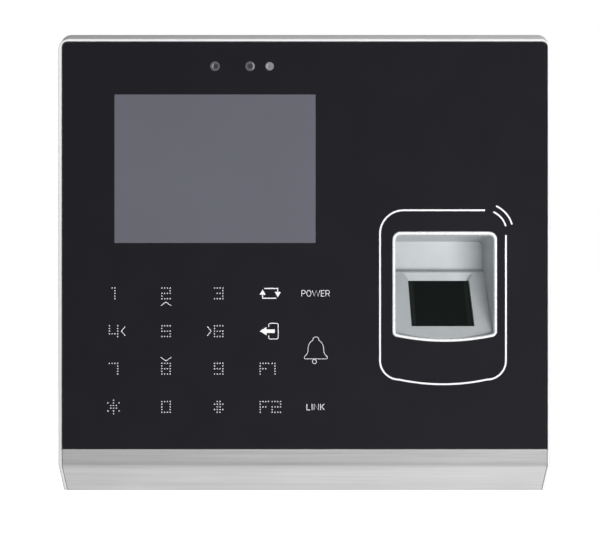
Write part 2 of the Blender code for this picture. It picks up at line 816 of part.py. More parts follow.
def processor_shield(parent):
    """Tin lid, open towards the board."""
    front, back = BOARD_FRONT_Y - 3.3, BOARD_FRONT_Y - GAP
    lid = make("processor_shield", box(-62.0, -30.0, front, back, 8.0, 40.0), PLATED_STEEL, parent)
    cut(lid, box(-61.5, -30.5, front + 0.5, back + 2.0, 8.5, 39.5))
    return lid


def battery(parent):
    x, z, radius = -2.0, -34.0, 10.0
    base = BOARD_FRONT_Y - GAP
    shape = turned((x, z), "y", [(radius + 1.6, base - 4.0), (radius + 1.6, base)])
    holder = make("battery_holder", shape, BLACK_PLASTIC, parent)
    cut(holder, turned((x, z), "y", [(radius + GAP, base - 6.0), (radius + GAP, base - 0.8)]))
    profile = [(radius - 0.4, base - 4.3), (radius, base - 4.0), (radius, base - 1.4), (8.6, base - 1.1)]
    make("coin_battery", turned((x, z), "y", profile), PLATED_STEEL, parent)


def door_relay(parent):
    base = BOARD_FRONT_Y - GAP
    shape = box(-4.0, 6.5, base - 11.0, base, 30.0, 50.0)
    relay = make("door_relay", shape, BLUE_PLASTIC, parent)
    bevel = relay.modifiers.new("Soft edges", "BEVEL")
    bevel.width = 0.5 * MM
    bevel.segments = 2
    return relay


def ethernet_jack(parent):
    """Shielded network socket whose mouth faces down into the wiring bay."""
    y0, y1 = BOARD_REAR_Y + GAP, -3.9
    x0, x1, z0, z1 = -32.0, -16.0, 14.0, 35.0
    jack = make("ethernet_jack", box(x0, x1, y0, y1, z0, z1), PLATED_STEEL, parent)
    mouth = box(x0 + 2.1, x1 - 2.1, y0 + 3.2, y1 - 3.0, z0 - 2.0, z1 - 5.0)
    cut(jack, mouth)
    cut(jack, box(x0 + 5.0, x1 - 5.0, y1 - 4.0, y1 - 1.2, z0 - 2.0, z1 - 5.0))
    return jack


def wiring_block(name, z0, look, parent):
    """Screw terminal block: wire entries below, screw heads towards the wall."""
    ways, pitch = 8, 3.81
    x0, z1 = -8.0, z0 + 9.0
    y0, y1 = BOARD_REAR_Y + GAP, -8.2
    outline = [
        (y0, z0), (y1 - 2.0, z0), (y1, z0 + 2.5), (y1, z1 - 1.5), (y1 - 1.5, z1), (y0, z1),
    ]
    block = make(name, bar(outline, x0, x0 + ways * pitch), look, parent)
    entries, heads = bmesh.new(), bmesh.new()
    for way in range(ways):
        x = x0 + (way + 0.5) * pitch
        add(entries, box(x - 1.3, x + 1.3, y0 + 1.5, y0 + 4.7, z0 - 2.0, z0 + 5.0))
        add(heads, turned((x, z0 + 5.2), "y", [(1.4, y1 - 1.4), (1.4, y1 + 2.0)], 10))
    cut(block, entries)
    cut(block, heads)
    return block


def usb_port(parent):
    """Type A socket at the board's lower edge, mouth down."""
    y0, y1 = -26.0, -20.3
    z0, z1 = -81.6, -67.5
    half = 6.57
    port = make("usb_port", box(USB_X - half, USB_X + half, y0, y1, z0, z1), PLATED_STEEL, parent)
    wall = 0.35
    cut(port, box(USB_X - half + wall, USB_X + half - wall, y0 + wall, y1 - wall, z0 - 2, z1 - 3.0))
    fuse(port, box(USB_X - 5.6, USB_X + 5.6, y0 + 3.0, y0 + 4.8, z0 + 1.0, z1 - 1.0))
    fuse(port, box(USB_X - 5.8, USB_X + 5.8, y1 - 0.4, BOARD_FRONT_Y - GAP, z1 - 6.0, z1 - 0.5))
    return port


def usb_cover(parent):
    """Rubber flap in the bottom wall, on a living hinge along its rear edge."""
    half, radius = 9.3, 0.55
    y_front = -28.2
    outline = arc((USB_HINGE_Y, USB_HINGE_Z), radius, -90, 90, 6)
    outline += [(y_front + 0.4, USB_HINGE_Z + radius), (y_front, USB_HINGE_Z + radius - 0.4)]
    outline += [(y_front, USB_HINGE_Z - radius)]
    origin = (USB_X, USB_HINGE_Y, USB_HINGE_Z)
    flap = make("usb_cover", bar(outline, USB_X - half, USB_X + half), BLACK_RUBBER, parent, origin)
    plug_top = USB_HINGE_Z + radius + 0.35
    fuse(flap, box(USB_X - 6.4, USB_X + 6.4, -25.7, -20.9, USB_HINGE_Z + 0.2, plug_top))
    return flap


def speaker(parent):
    floor = FRAME_BOTTOM + BOTTOM_WALL
    outer = rectangle(SPEAKER_X - 10.0, SPEAKER_X + 10.0, SPEAKER_Y - 5.0, SPEAKER_Y + 5.0)
    inner = rectangle(SPEAKER_X - 8.8, SPEAKER_X + 8.8, SPEAKER_Y - 3.9, SPEAKER_Y + 3.9)
    ring = bmesh.new()
    low, high = floor + GAP, floor + 1.0
    levels = [(outer, low), (outer, high), (inner, high), (inner, low)]
    loft(ring, [[(x, y, z) for x, y in outline] for outline, z in levels], ring_shaped=True)
    make("speaker_gasket", ring, BLACK_RUBBER, parent)
    front, back = SPEAKER_Y - 5.0, SPEAKER_Y + 5.0
    shape = box(SPEAKER_X - 10.0, SPEAKER_X + 10.0, front, back, floor + 1.3, floor + 6.5)
    driver = make("speaker", shape, BLACK_PLASTIC, parent)
    cone = box(SPEAKER_X - 8.6, SPEAKER_X + 8.6, SPEAKER_Y - 3.7, SPEAKER_Y + 3.7, floor, floor + 2.3)
    cut(driver, cone)
    return driver


def microphone(parent):
    floor = FRAME_BOTTOM + BOTTOM_WALL + GAP
    profile = [(2.6, floor), (3.0, floor + 0.4), (3.0, floor + 2.2)]
    return make("microphone", turned((MICROPHONE_X, SPEAKER_Y), "z", profile), PLATED_STEEL, parent)


# ---- Tamper contact and reset button -------------------------------------------------------------


def tamper_switch(parent):
    y0, y1 = BOARD_REAR_Y + GAP, -15.7
    shape = box(PLUNGER_X - 3.5, PLUNGER_X + 3.5, y0, y1, PLUNGER_Z - 3.5, PLUNGER_Z + 3.5)
    return make("tamper_switch", shape, BLACK_PLASTIC, parent)


def tamper_plunger(parent):
    """Spring-loaded pin that the wall holds in."""
    profile = [
        (1.4, -14.8), (1.4, -11.6), (3.4, -11.6), (3.4, -10.4), (2.0, -10.4), (2.0, -0.8), (1.4, -0.2),
    ]
    origin = (PLUNGER_X, -0.2, PLUNGER_Z)
    shape = turned((PLUNGER_X, PLUNGER_Z), "y", profile)
    return make("tamper_plunger", shape, WHITE_PLASTIC, parent, origin)


def tamper_spring(parent):
    """Coil round the plunger's inner stem."""
    radius, wire, turns, steps, sides = 2.35, 0.25, 3, 14, 6
    start, end = -15.2, -12.75
    shape = bmesh.new()
    rings = []
    for i in range(turns * steps + 1):
        angle = 2 * math.pi * i / steps
        place = start + (end - start) * i / (turns * steps)
        ring = []
        for side in range(sides):
            around = 2 * math.pi * side / sides
            reach = radius + wire * math.cos(around)
            y = place + wire * math.sin(around)
            ring.append((PLUNGER_X + reach * math.cos(angle), y, PLUNGER_Z + reach * math.sin(angle)))
        rings.append(ring)
    loft(shape, rings)
    return make("tamper_spring", shape, PLATED_STEEL, parent)


def reset_switch(parent):
    y0, y1 = BOARD_REAR_Y + GAP, -14.1
    shape = box(RESET_X - 3.0, RESET_X + 3.0, y0, y1, RESET_Z - 3.0, RESET_Z + 3.0)
    return make("reset_switch", shape, PLATED_STEEL, parent)


def reset_button(parent):
    profile = [(1.2, -13.3), (1.2, -9.6), (2.8, -9.6), (2.8, -8.5), (1.8, -8.5), (1.8, -5.8), (1.4, -5.4)]
    origin = (RESET_X, -5.4, RESET_Z)
    shape = turned((RESET_X, RESET_Z), "y", profile, 18)
    return make("reset_button", shape, BLACK_PLASTIC, parent, origin)


# ---- Rear cover, seal and screws -----------------------------------------------------------------


def seal_outline(grow):
    side = SEAL_HALF_WIDTH + grow
    radius = 3.0 + grow
    return rounded(-side, side, SEAL_BOTTOM - grow, SEAL_TOP + grow, radius, radius, steps=4)


def perimeter_seal(parent):
    half = SEAL_WIDTH / 2
    shape = band(seal_outline(half), seal_outline(-half), -17.0, -15.95)
    return make("perimeter_seal", shape, BLACK_RUBBER, parent)


def cover_outline(inset):
    side = COVER_HALF_WIDTH - inset
    radius = 4.2 - inset / 2
    return rounded(-side, side, COVER_BOTTOM + inset, COVER_TOP - inset, radius, radius)


def cover_fixtures(cover):
    """Screw towers, board posts, and the holes through them."""
    towers = bmesh.new()
    for x, z in CASE_SCREWS:
        add(towers, turned((x, z), "y", [(4.6, COVER_FRONT_Y), (4.6, COVER_INNER_Y + 1.0)]))
    for x, z in BOARD_SCREWS:
        add(towers, turned((x, z), "y", [(3.0, BOARD_REAR_Y + GAP), (3.4, COVER_INNER_Y + 1.0)], 16))
    for x, z in SENSOR_SCREWS:
        add(towers, turned((x, z), "y", [(2.6, SENSOR_BOARD_Y[1] + GAP), (3.0, COVER_INNER_Y + 1.0)], 16))
    fuse(cover, towers)
    holes = bmesh.new()
    for x, z in CASE_SCREWS:
        add(holes, turned((x, z), "y", [(CLEARANCE_RADIUS, -20.0), (CLEARANCE_RADIUS, -10.6)], 18))
    add(holes, screw_holes(BOARD_SCREWS, 1.5, BOARD_REAR_Y - 3, -9.5))
    add(holes, screw_holes(SENSOR_SCREWS, 1.5, SENSOR_BOARD_Y[0] - 3, -8.5))
    cut(cover, holes)
    sinks = bmesh.new()
    for x, z in CASE_SCREWS:
        add(sinks, turned((x, z), "y", [(3.3, -11.0), (3.3, 0.0)], 18))
    cut(cover, sinks)


def cover_openings(cover):
    """Wiring bay, hook slots, lug notch, screw notch, plunger and reset holes."""
    front, back = COVER_INNER_Y - 1.0, COVER_OUTER_Y + 1.0
    slots = box(BAY[0], BAY[1], front, back, BAY[2], BAY[3])
    for side in (-1, 1):
        x = side * HOOK_X
        add(slots, box(x - 7.0, x + 7.0, front, back, 58.0, 68.0))
    add(slots, box(-9.8, 9.8, front, back, COVER_BOTTOM + COVER_WALL, -72.0))
    add(slots, turned((PLUNGER_X, PLUNGER_Z), "y", [(2.3, front), (2.3, back)], 18))
    add(slots, turned((RESET_X, RESET_Z), "y", [(2.1, front), (2.1, back)], 18))
    cut(cover, slots)
    shank_half, head_half = SCREW_RADIUS + 0.4, SCREW_HEAD + 0.4
    shank_top, head_top = COVER_BOTTOM + COVER_WALL + 1.0, COVER_BOTTOM + LOCK_RECESS
    for half, top in ((shank_half, shank_top), (head_half, head_top)):
        notch = [(half, 0.5), (-half, 0.5)]
        notch += arc((0.0, LOCK_SCREW_Y), half, 180, 360, 8)
        shape = bmesh.new()
        loft(shape, [[(x, y, z) for x, y in notch] for z in (COVER_BOTTOM - 1.0, top)])
        cut(cover, shape)


def rear_cover(parent):
    shape = prism(cover_outline(0.0), COVER_FRONT_Y, COVER_BACK_Y)
    cover = make("rear_cover", shape, BLACK_PLASTIC, parent)
    cut(cover, prism(cover_outline(COVER_WALL), COVER_FRONT_Y - 2, COVER_INNER_Y))
    cut(cover, prism(cover_outline(COVER_WALL), COVER_OUTER_Y, 2.0))
    cover_fixtures(cover)
    cover_openings(cover)
    return cover


def screw(name, centre, head, tip, head_radius, radius, parent, steps=18, axis="y"):
    """Socket screw: head is (outer end, underside) on the axis, tip the end of its shank."""
    outer, under = head
    depth = (under - outer) * 0.65
    socket = head_radius * 0.48
    profile = [
        (socket, outer + depth, True),
        (socket, outer, True),
        (head_radius * 0.9, outer),
        (head_radius, outer + (under - outer) * 0.15),
        (head_radius, under),
        (radius, under),
        (radius, tip - math.copysign(0.5, tip - under)),
        (radius * 0.7, tip),
    ]
    return make(name, turned(centre, axis, profile, steps), PLATED_STEEL, parent)


def case_screws(parent):
    for number, place in enumerate(CASE_SCREWS, 1):
        screw(f"case_screw_{number}", place, (-8.6, -10.7), -25.0, SCREW_HEAD, SCREW_RADIUS, parent)


def board_screws(parent):
    boards = (
        ("main_board_screw", BOARD_SCREWS, BOARD_FRONT_Y - GAP, -10.2),
        ("sensor_board_screw", SENSOR_SCREWS, SENSOR_BOARD_Y[0] - GAP, -9.2),
    )
    for name, places, under, tip in boards:
        head = (under - 1.6, under)
        for number, place in enumerate(places, 1):
            screw(f"{name}_{number}", place, head, tip, SMALL_HEAD, SMALL_SCREW_RADIUS, parent, 12)


# ---- Wall plate ----------------------------------------------------------------------------------


def wall_plate():
    outline = rounded(-PLATE_HALF_WIDTH, PLATE_HALF_WIDTH, PLATE_BOTTOM, PLATE_TOP, 4.0, 4.0)
    plate = make("wall_plate", prism(outline, -PLATE_THICKNESS, 0.0), PLATED_STEEL)
    lip_y = HOOK_TIP_Y + PLATE_THICKNESS
    tongue = HOOK_Z + PLATE_THICKNESS
    hook = [
        (-0.5, HOOK_Z), (-0.5, tongue), (lip_y, tongue), (lip_y, HOOK_TIP_Z - 0.6),
        (lip_y - 0.5, HOOK_TIP_Z), (HOOK_TIP_Y + 0.5, HOOK_TIP_Z), (HOOK_TIP_Y, HOOK_TIP_Z - 0.6),
        (HOOK_TIP_Y, HOOK_Z + 1.0), (HOOK_TIP_Y + 1.0, HOOK_Z),
    ]
    hooks = bmesh.new()
    for side in (-1, 1):
        x = side * HOOK_X
        add(hooks, bar(hook, x - HOOK_HALF_WIDTH, x + HOOK_HALF_WIDTH))
    fuse(plate, hooks)
    lug = [
        (0.0, PLATE_BOTTOM + 3.0), (-PLATE_THICKNESS, PLATE_BOTTOM + 3.0),
        (-PLATE_THICKNESS, LUG_Z + PLATE_THICKNESS), (LUG_FRONT_Y, LUG_Z + PLATE_THICKNESS),
        (LUG_FRONT_Y, LUG_Z), (-1.0, LUG_Z), (0.0, LUG_Z + 1.0),
    ]
    fuse(plate, bar(lug, -LUG_HALF_WIDTH, LUG_HALF_WIDTH))
    cut(plate, plate_openings())
    bore = SCREW_RADIUS + 0.25
    cut(plate, turned((0.0, LOCK_SCREW_Y), "z", [(bore, LUG_Z - 2), (bore, LUG_Z + 9)]))
    return plate


def plate_openings():
    """Cable opening, upright and level slots for the wall screws, and the plunger's window."""
    front, back = -PLATE_THICKNESS - 2.4, 2.0
    openings = prism(rounded(*CABLE_OPENING, 3.0, 3.0, steps=3), front, back)
    slots = [(x, z, SLOT_HALF_WIDTH, UPRIGHT_SLOT_HALF) for x in (-50.0, 50.0) for z in (52.0, -50.0)]
    slots += [(x, -10.0, LEVEL_SLOT_HALF, SLOT_HALF_WIDTH) for x in (-30.0, 30.0)]
    radius = SLOT_HALF_WIDTH - 0.01
    for x, z, half_x, half_z in slots:
        slot = rounded(x - half_x, x + half_x, z - half_z, z + half_z, radius, radius, steps=4)
        add(openings, prism(slot, front, back))
    half_x, half_z = 5.0, 6.0
    left, right = PLUNGER_X - half_x, PLUNGER_X + half_x
    window = rounded(left, right, PLUNGER_Z - half_z, PLUNGER_Z + half_z, 2.0, 2.0, steps=3)
    return add(openings, prism(window, front, back))


def lock_screw():
    """Held in the plate's lug; its head clamps the cover's bottom wall from below."""
    head = (FRAME_BOTTOM + 0.1, COVER_BOTTOM + LOCK_RECESS - GAP)
    screw("lock_screw", (0.0, LOCK_SCREW_Y), head, -73.5, SCREW_HEAD, SCREW_RADIUS, None, 24, "z")


def terminal():
    """Everything that swings away from the wall plate, parented to an empty on the swing axis."""
    swing = empty("terminal_swing", SWING_AXIS)
    fixed_pieces = (
        front_frame, front_glass, glass_tape, trim_strip,
        sensor_well, sensor_window, sensor_prism, sensor_camera, sensor_board, sensor_cable,
        card_antenna, lcd_panel, lcd_backlight, lcd_frame, lcd_flex, keypad,
        camera_barrel, camera_lens, camera_board, light_sensor, fill_light, inner_carrier,
        main_board, processor_shield, battery, door_relay, ethernet_jack, usb_port,
        speaker, microphone, tamper_switch, tamper_spring, reset_switch,
        perimeter_seal, rear_cover, case_screws, board_screws,
    )
    for build in fixed_pieces:
        build(swing)
    wiring_block("power_block", 30.0, GREEN_PLASTIC, swing)
    wiring_block("lock_block", 16.0, GREEN_PLASTIC, swing)
    for build in (tamper_plunger, reset_button, usb_cover):
        build(swing)


clear_scene()
wall_plate()
lock_screw()
terminal()
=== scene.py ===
"""Looks of the wall-mounted fingerprint terminal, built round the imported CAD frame.

Shapes are written in millimetres, like the CAD, and MM turns them into metres. Places are read from
the CAD nodes' boxes, or are named values along the frame's own axes.
"""

import math

import bmesh
import bpy
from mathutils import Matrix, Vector


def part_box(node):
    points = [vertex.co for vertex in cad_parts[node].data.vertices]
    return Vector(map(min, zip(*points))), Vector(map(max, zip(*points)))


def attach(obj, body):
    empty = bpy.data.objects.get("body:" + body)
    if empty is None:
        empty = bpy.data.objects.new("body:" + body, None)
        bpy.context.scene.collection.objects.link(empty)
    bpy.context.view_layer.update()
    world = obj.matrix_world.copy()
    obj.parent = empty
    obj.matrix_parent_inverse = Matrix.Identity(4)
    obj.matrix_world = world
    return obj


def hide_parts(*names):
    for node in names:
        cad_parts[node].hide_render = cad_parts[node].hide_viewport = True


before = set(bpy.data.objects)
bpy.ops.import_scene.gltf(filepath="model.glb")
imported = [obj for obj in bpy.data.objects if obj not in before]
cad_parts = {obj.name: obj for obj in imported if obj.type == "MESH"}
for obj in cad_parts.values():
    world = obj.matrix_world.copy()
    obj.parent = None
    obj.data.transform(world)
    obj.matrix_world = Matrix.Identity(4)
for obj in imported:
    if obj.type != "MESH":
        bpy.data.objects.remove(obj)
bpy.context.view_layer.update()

MM = 0.001
TERMINAL = "terminal"


def box_mm(node):
    low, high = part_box(node)
    return low / MM, high / MM


# ---- Sizes read from the frame -------------------------------------------------------------------

FRAME_LOW, FRAME_HIGH = box_mm("front_frame")
GLASS_LOW, GLASS_HIGH = box_mm("front_glass")
STRIP_LOW, STRIP_HIGH = box_mm("trim_strip")
WELL_LOW, WELL_HIGH = box_mm("sensor_well")
WINDOW_LOW, WINDOW_HIGH = box_mm("sensor_window")
LCD_LOW, LCD_HIGH = box_mm("lcd_panel")

GLASS_FACE = GLASS_LOW.y
PRINT_THICKNESS = 0.02
PRINT_FACE = GLASS_FACE - PRINT_THICKNESS
PRINT_BACK = GLASS_FACE + 0.05

# Front frame: its top and lower slopes
FRONT_Y = FRAME_LOW.y
RIM_TOP = GLASS_HIGH.z + 1.0
TOP_SLOPE_DEPTH = 5.0
CREASE_Z = STRIP_HIGH.z - 6.0
LOWER_SLOPE_DEPTH = 10.0
CORNER_RADIUS = 3.9
EDGE_BREAK = 0.4
GLASS_CORNER = 1.7
STRIP_THICKNESS = 1.2
STRIP_FOLD = 2.0
SEAM = 0.3
STRIP_END_GAP = 0.18

# Hollow behind the front frame's face
CAVITY_FRONT_Y = -35.9
CAVITY_TOP = 76.6
CAVITY_SIDE = 83.2
CAVITY_FLOOR = FRAME_LOW.z + 2.5
CAVITY_TAPER = 7.0
CAVITY_TAPER_TOP = -72.0
DEEP_CAVITY_BACK_Y = -30.0
DEEP_CAVITY_FLOOR = -63.0

# Openings in the bottom wall
USB_OPENING_Y = (-26.5, -19.8)
FLAP_RECESS = 1.4
SPEAKER_SLOTS = 5
SPEAKER_SLOT = 1.6
SPEAKER_SLOT_PITCH = 3.4
MICROPHONE_HOLE = 1.6

# Display window, let into the print above the display
DISPLAY_SIZE = (71.8, 53.0)
DISPLAY_CENTRE = ((LCD_LOW.x + LCD_HIGH.x) / 2, (LCD_LOW.z + LCD_HIGH.z) / 2)

# Keypad print
KEY_COLUMNS = (-68.25, -49.5, -30.7)
KEY_ROWS = (-10.9, -24.4, -37.8, -51.45)
ICON_X = -12.3
LABEL_X = 3.9
DOT_PITCH = (0.99, 0.955)
DOT_RADIUS = 0.245

# Finger recess
FLANGE = 1.5
WELL_LEFT = WELL_LOW.x + FLANGE
WELL_RIGHT = WELL_HIGH.x - FLANGE
WELL_TOP = WELL_HIGH.z - FLANGE
WELL_BOW = 1.7
WELL_BOTTOM = WELL_LOW.z + FLANGE + WELL_BOW
WELL_RIM = 1.2
WELL_TOP_RADIUS = 2.9
WELL_BOTTOM_RADIUS = 2.1
WELL_FRONT_Y = WELL_LOW.y
WELL_BACK_Y = WELL_HIGH.y
WELL_WALL_Y = WELL_BACK_Y - 1.5
WELL_DRAFT = 0.4
CEILING_DROP = 1.9
PLATFORM_DATUM = (-22.0, -4.0)
PLATFORM_TILT = math.radians(40.7)
PLATFORM_CREST = -1.0
PLATFORM_FOOT = 32.5
LEDGE_BACK_Z = -2.5
WINDOW_X = (WINDOW_LOW.x + WINDOW_HIGH.x) / 2
WINDOW_HALF_WIDTH = (WINDOW_HIGH.x - WINDOW_LOW.x) / 2 + 0.2
WINDOW_START = 2.0
WINDOW_END = 24.8
RAMP_SIDE = 2.2
RAMP_RISE = 3.4
WINDOW_DEPTH = 1.6
WINDOW_THICKNESS = 2.0
WINDOW_BORDER = 1.4
WINDOW_SEAT = WINDOW_DEPTH + WINDOW_THICKNESS + 0.3
OPTICS_POCKET_Z = (-7.5, -24.5)
OPTICS_POCKET_HALF_WIDTH = 13.5
PLATFORM_WALL = 5.4


# ---- Mesh helpers --------------------------------------------------------------------------------


def make(name, shape, smooth=35):
    """Turns a shape in millimetres into an object in metres."""
    bmesh.ops.scale(shape, verts=shape.verts, vec=(MM, MM, MM))
    bmesh.ops.recalc_face_normals(shape, faces=shape.faces)
    mesh = bpy.data.meshes.new(name)
    shape.to_mesh(mesh)
    shape.free()
    mesh.shade_smooth()
    mesh.set_sharp_from_angle(angle=math.radians(smooth))
    item = bpy.data.objects.new(name, mesh)
    bpy.context.scene.collection.objects.link(item)
    return item


def loft(shape, rings, ring_shaped=False):
    rows = [[shape.verts.new(point) for point in ring] for ring in rings]
    pairs = list(zip(rows, rows[1:]))
    if ring_shaped:
        pairs.append((rows[-1], rows[0]))
    for lower, upper in pairs:
        for i, point in enumerate(lower):
            j = (i + 1) % len(lower)
            shape.faces.new((point, lower[j], upper[j], upper[i]))
    if not ring_shaped:
        shape.faces.new(rows[0])
        shape.faces.new(rows[-1])
    return shape


def at_y(outline, y):
    return [(x, y, z) for x, z in outline]


def at_x(outline, x):
    return [(x, y, z) for y, z in outline]


def rectangle(left, right, bottom, top):
    return [(left, bottom), (right, bottom), (right, top), (left, top)]


def rounded(left, right, bottom, top, top_radius, bottom_radius, steps=10, bow=0.0, bow_steps=0):
    """A rectangle with rounded corners, whose lower edge may sag by bow."""
    corners = [
        (left + bottom_radius, bottom + bottom_radius, bottom_radius, 180),
        (right - bottom_radius, bottom + bottom_radius, bottom_radius, 270),
        (right - top_radius, top - top_radius, top_radius, 0),
        (left + top_radius, top - top_radius, top_radius, 90),
    ]
    points = []
    for index, (cx, cz, radius, start) in enumerate(corners):
        for step in range(steps + 1):
            angle = math.radians(start + 90 * step / steps)
            points.append((cx + radius * math.cos(angle), cz + radius * math.sin(angle)))
        if index == 0:
            span = right - left - 2 * bottom_radius
            for step in range(1, bow_steps):
                share = step / bow_steps
                sag = 4 * bow * share * (1 - share)
                points.append((left + bottom_radius + span * share, bottom - sag))
    return points


def prism(outline, y0, y1):
    return loft(bmesh.new(), [at_y(outline, y0), at_y(outline, y1)])


def bar(outline, x0, x1):
    return loft(bmesh.new(), [at_x(outline, x0), at_x(outline, x1)])


def box(x0, x1, y0, y1, z0, z1):
    return prism(rectangle(x0, x1, z0, z1), y0, y1)


def band(outer, inner, y0, y1):
    rings = [at_y(outer, y0), at_y(outer, y1), at_y(inner, y1), at_y(inner, y0)]
    return loft(bmesh.new(), rings, ring_shaped=True)


def add(shape, other):
    copies = {point: shape.verts.new(point.co) for point in other.verts}
    for face in other.faces:
        shape.faces.new([copies[point] for point in face.verts])
    other.free()
    return shape


def arc(centre, radius, start, end, steps=12):
    angles = [math.radians(start + (end - start) * i / steps) for i in range(steps + 1)]
    return [(centre[0] + radius * math.cos(a), centre[1] + radius * math.sin(a)) for a in angles]


def turned(centre, profile, steps=48):
    """A body turned about the line through centre (x, z) along Y; the profile lists (radius, y)."""
    rings = [[(x, y, z) for x, z in arc(centre, radius, 0, 360, steps)[:-1]] for radius, y in profile]
    return loft(bmesh.new(), rings)


def boolean(item, shape, operation="DIFFERENCE"):
    """Cuts the shape out of the item, or joins it on, and applies the result."""
    helper = make("helper", shape)
    step = item.modifiers.new(operation, "BOOLEAN")
    step.operation = operation
    step.object = helper
    bake(item)
    bpy.data.objects.remove(helper, do_unlink=True)


def bake(item):
    """Replaces the item's mesh by what its modifiers make of it."""
    graph = bpy.context.evaluated_depsgraph_get()
    graph.update()
    made = bpy.data.meshes.new_from_object(item.evaluated_get(graph))
    item.modifiers.clear()
    item.data = made


def soften(item, width, segments=3, angle=30):
    """Rounds the item's edges, so that they catch the light."""
    step = item.modifiers.new("Edges", "BEVEL")
    step.width = width * MM
    step.segments = segments
    step.limit_method = "ANGLE"
    step.angle_limit = math.radians(angle)
    step.harden_normals = True
    step.use_clamp_overlap = True
    return item


def stroke(points, width, closed=False):
    """A flat printed line through (x, z) points, as a thin body."""
    half = width / 2
    points = [p for i, p in enumerate(points) if i == 0 or math.dist(p, points[i - 1]) > 0.001]
    count = len(points)
    left, right = [], []
    for i, (x, z) in enumerate(points):
        before = points[i - 1] if (i > 0 or closed) else None
        after = points[(i + 1) % count] if (i < count - 1 or closed) else None
        normals = []
        for a, b in ((before, (x, z)), ((x, z), after)):
            if a is not None and b is not None:
                length = math.hypot(b[0] - a[0], b[1] - a[1])
                normals.append((-(b[1] - a[1]) / length, (b[0] - a[0]) / length))
        nx = sum(n[0] for n in normals) / len(normals)
        nz = sum(n[1] for n in normals) / len(normals)
        reach = half / max(nx * nx + nz * nz, 0.3)
        left.append((x + nx * reach, z + nz * reach))
        right.append((x - nx * reach, z - nz * reach))
    if closed:
        return band(left, right, PRINT_FACE, PRINT_BACK)
    return prism(left + right[::-1], PRINT_FACE, PRINT_BACK)


def printed(name, shapes, finish, body=TERMINAL):
    """One printed mark made of flat bodies."""
    whole = bmesh.new()
    for shape in shapes:
        add(whole, shape)
    item = make(name, whole)
    item.data.materials.append(finish)
    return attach(item, body)


def piece(name, shape, finish, body=TERMINAL, smooth=35):
    item = make(name, shape, smooth)
    item.data.materials.append(finish)
    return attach(item, body)


def stand_in(item, look, edge, node):
    """Gives the item its material and rounded edges, and puts it in a CAD node's place."""
    item.data.materials.clear()
    item.data.materials.append(look)
    soften(item, *edge)
    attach(item, TERMINAL)
    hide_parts(node)
    return item


# ---- Materials -----------------------------------------------------------------------------------


class Finish:
    """A Principled material and the few nodes that most finishes need."""

    def __init__(self, name, colour, roughness, metallic=0.0, specular=0.5):
        self.material = bpy.data.materials.new(name)
        self.material.use_nodes = True
        self.tree = self.material.node_tree
        self.shader = self.tree.nodes["Principled BSDF"]
        self.colour = (*colour, 1.0)
        self.set("Base Color", self.colour)
        self.set("Roughness", roughness)
        self.set("Metallic", metallic)
        self.set("Specular IOR Level", specular)
        self.place = self.node("ShaderNodeTexCoord").outputs["Object"]

    def node(self, kind, **settings):
        made = self.tree.nodes.new(kind)
        for key, value in settings.items():
            setattr(made, key, value)
        return made

    def link(self, source, target):
        self.tree.links.new(source, target)
        return target

    def set(self, name, value):
        self.shader.inputs[name].default_value = value

    def feed(self, name, source):
        self.link(source, self.shader.inputs[name])

    def stretched(self, scale):
        """Object coordinates multiplied per axis."""
        mapping = self.node("ShaderNodeMapping")
        mapping.inputs["Scale"].default_value = scale
        self.link(self.place, mapping.inputs["Vector"])
        return mapping.outputs["Vector"]

    def noise(self, grain, detail=2.0, stretch=(1, 1, 1), rough=0.5):
        """Noise whose features are about grain millimetres across."""
        texture = self.node("ShaderNodeTexNoise")
        texture.inputs["Scale"].default_value = 1 / (grain * MM)
        texture.inputs["Detail"].default_value = detail
        texture.inputs["Roughness"].default_value = rough
        self.link(self.stretched(stretch), texture.inputs["Vector"])
        return texture.outputs["Fac"]

    def spread(self, source, low, high, start=0.3, end=0.7):
        """Maps a value between start and end to low and high."""
        step = self.node("ShaderNodeMapRange", interpolation_type="SMOOTHSTEP")
        step.inputs["From Min"].default_value = start
        step.inputs["From Max"].default_value = end
        step.inputs["To Min"].default_value = low
        step.inputs["To Max"].default_value = high
        self.link(source, step.inputs["Value"])
        return step.outputs["Result"]

    def times(self, a, b):
        step = self.node("ShaderNodeMath", operation="MULTIPLY")
        self.link(a, step.inputs[0])
        if isinstance(b, (int, float)):
            step.inputs[1].default_value = b
        else:
            self.link(b, step.inputs[1])
        return step.outputs[0]

    def plus(self, a, b):
        step = self.node("ShaderNodeMath", operation="ADD")
        self.link(a, step.inputs[0])
        self.link(b, step.inputs[1])
        return step.outputs[0]

    def along(self, axis):
        """One object coordinate, in metres."""
        split = self.node("ShaderNodeSeparateXYZ")
        self.link(self.place, split.inputs[0])
        return split.outputs[axis]

    def tint(self, factor, base=None):
        """The base colour, or a colour fed in, made lighter or darker by a factor."""
        step = self.node("ShaderNodeVectorMath", operation="SCALE")
        if base is None:
            step.inputs[0].default_value = self.colour[:3]
        else:
            self.link(base, step.inputs[0])
        self.link(factor, step.inputs["Scale"])
        self.feed("Base Color", step.outputs[0])
        return step.outputs[0]

    def blend(self, factor, first, second):
        """A colour between two, by a factor."""
        step = self.node("ShaderNodeMix", data_type="RGBA")
        self.link(factor, step.inputs["Factor"])
        for index, colour in ((6, first), (7, second)):
            if isinstance(colour, tuple):
                step.inputs[index].default_value = (*colour, 1.0)
            else:
                self.link(colour, step.inputs[index])
        return step.outputs[2]

    def bump(self, height, depth):
        """Relief of depth millimetres."""
        step = self.node("ShaderNodeBump")
        step.inputs["Distance"].default_value = depth * MM
        step.inputs["Strength"].default_value = 1.0
        self.link(height, step.inputs["Height"])
        self.feed("Normal", step.outputs["Normal"])
        return step.outputs["Normal"]


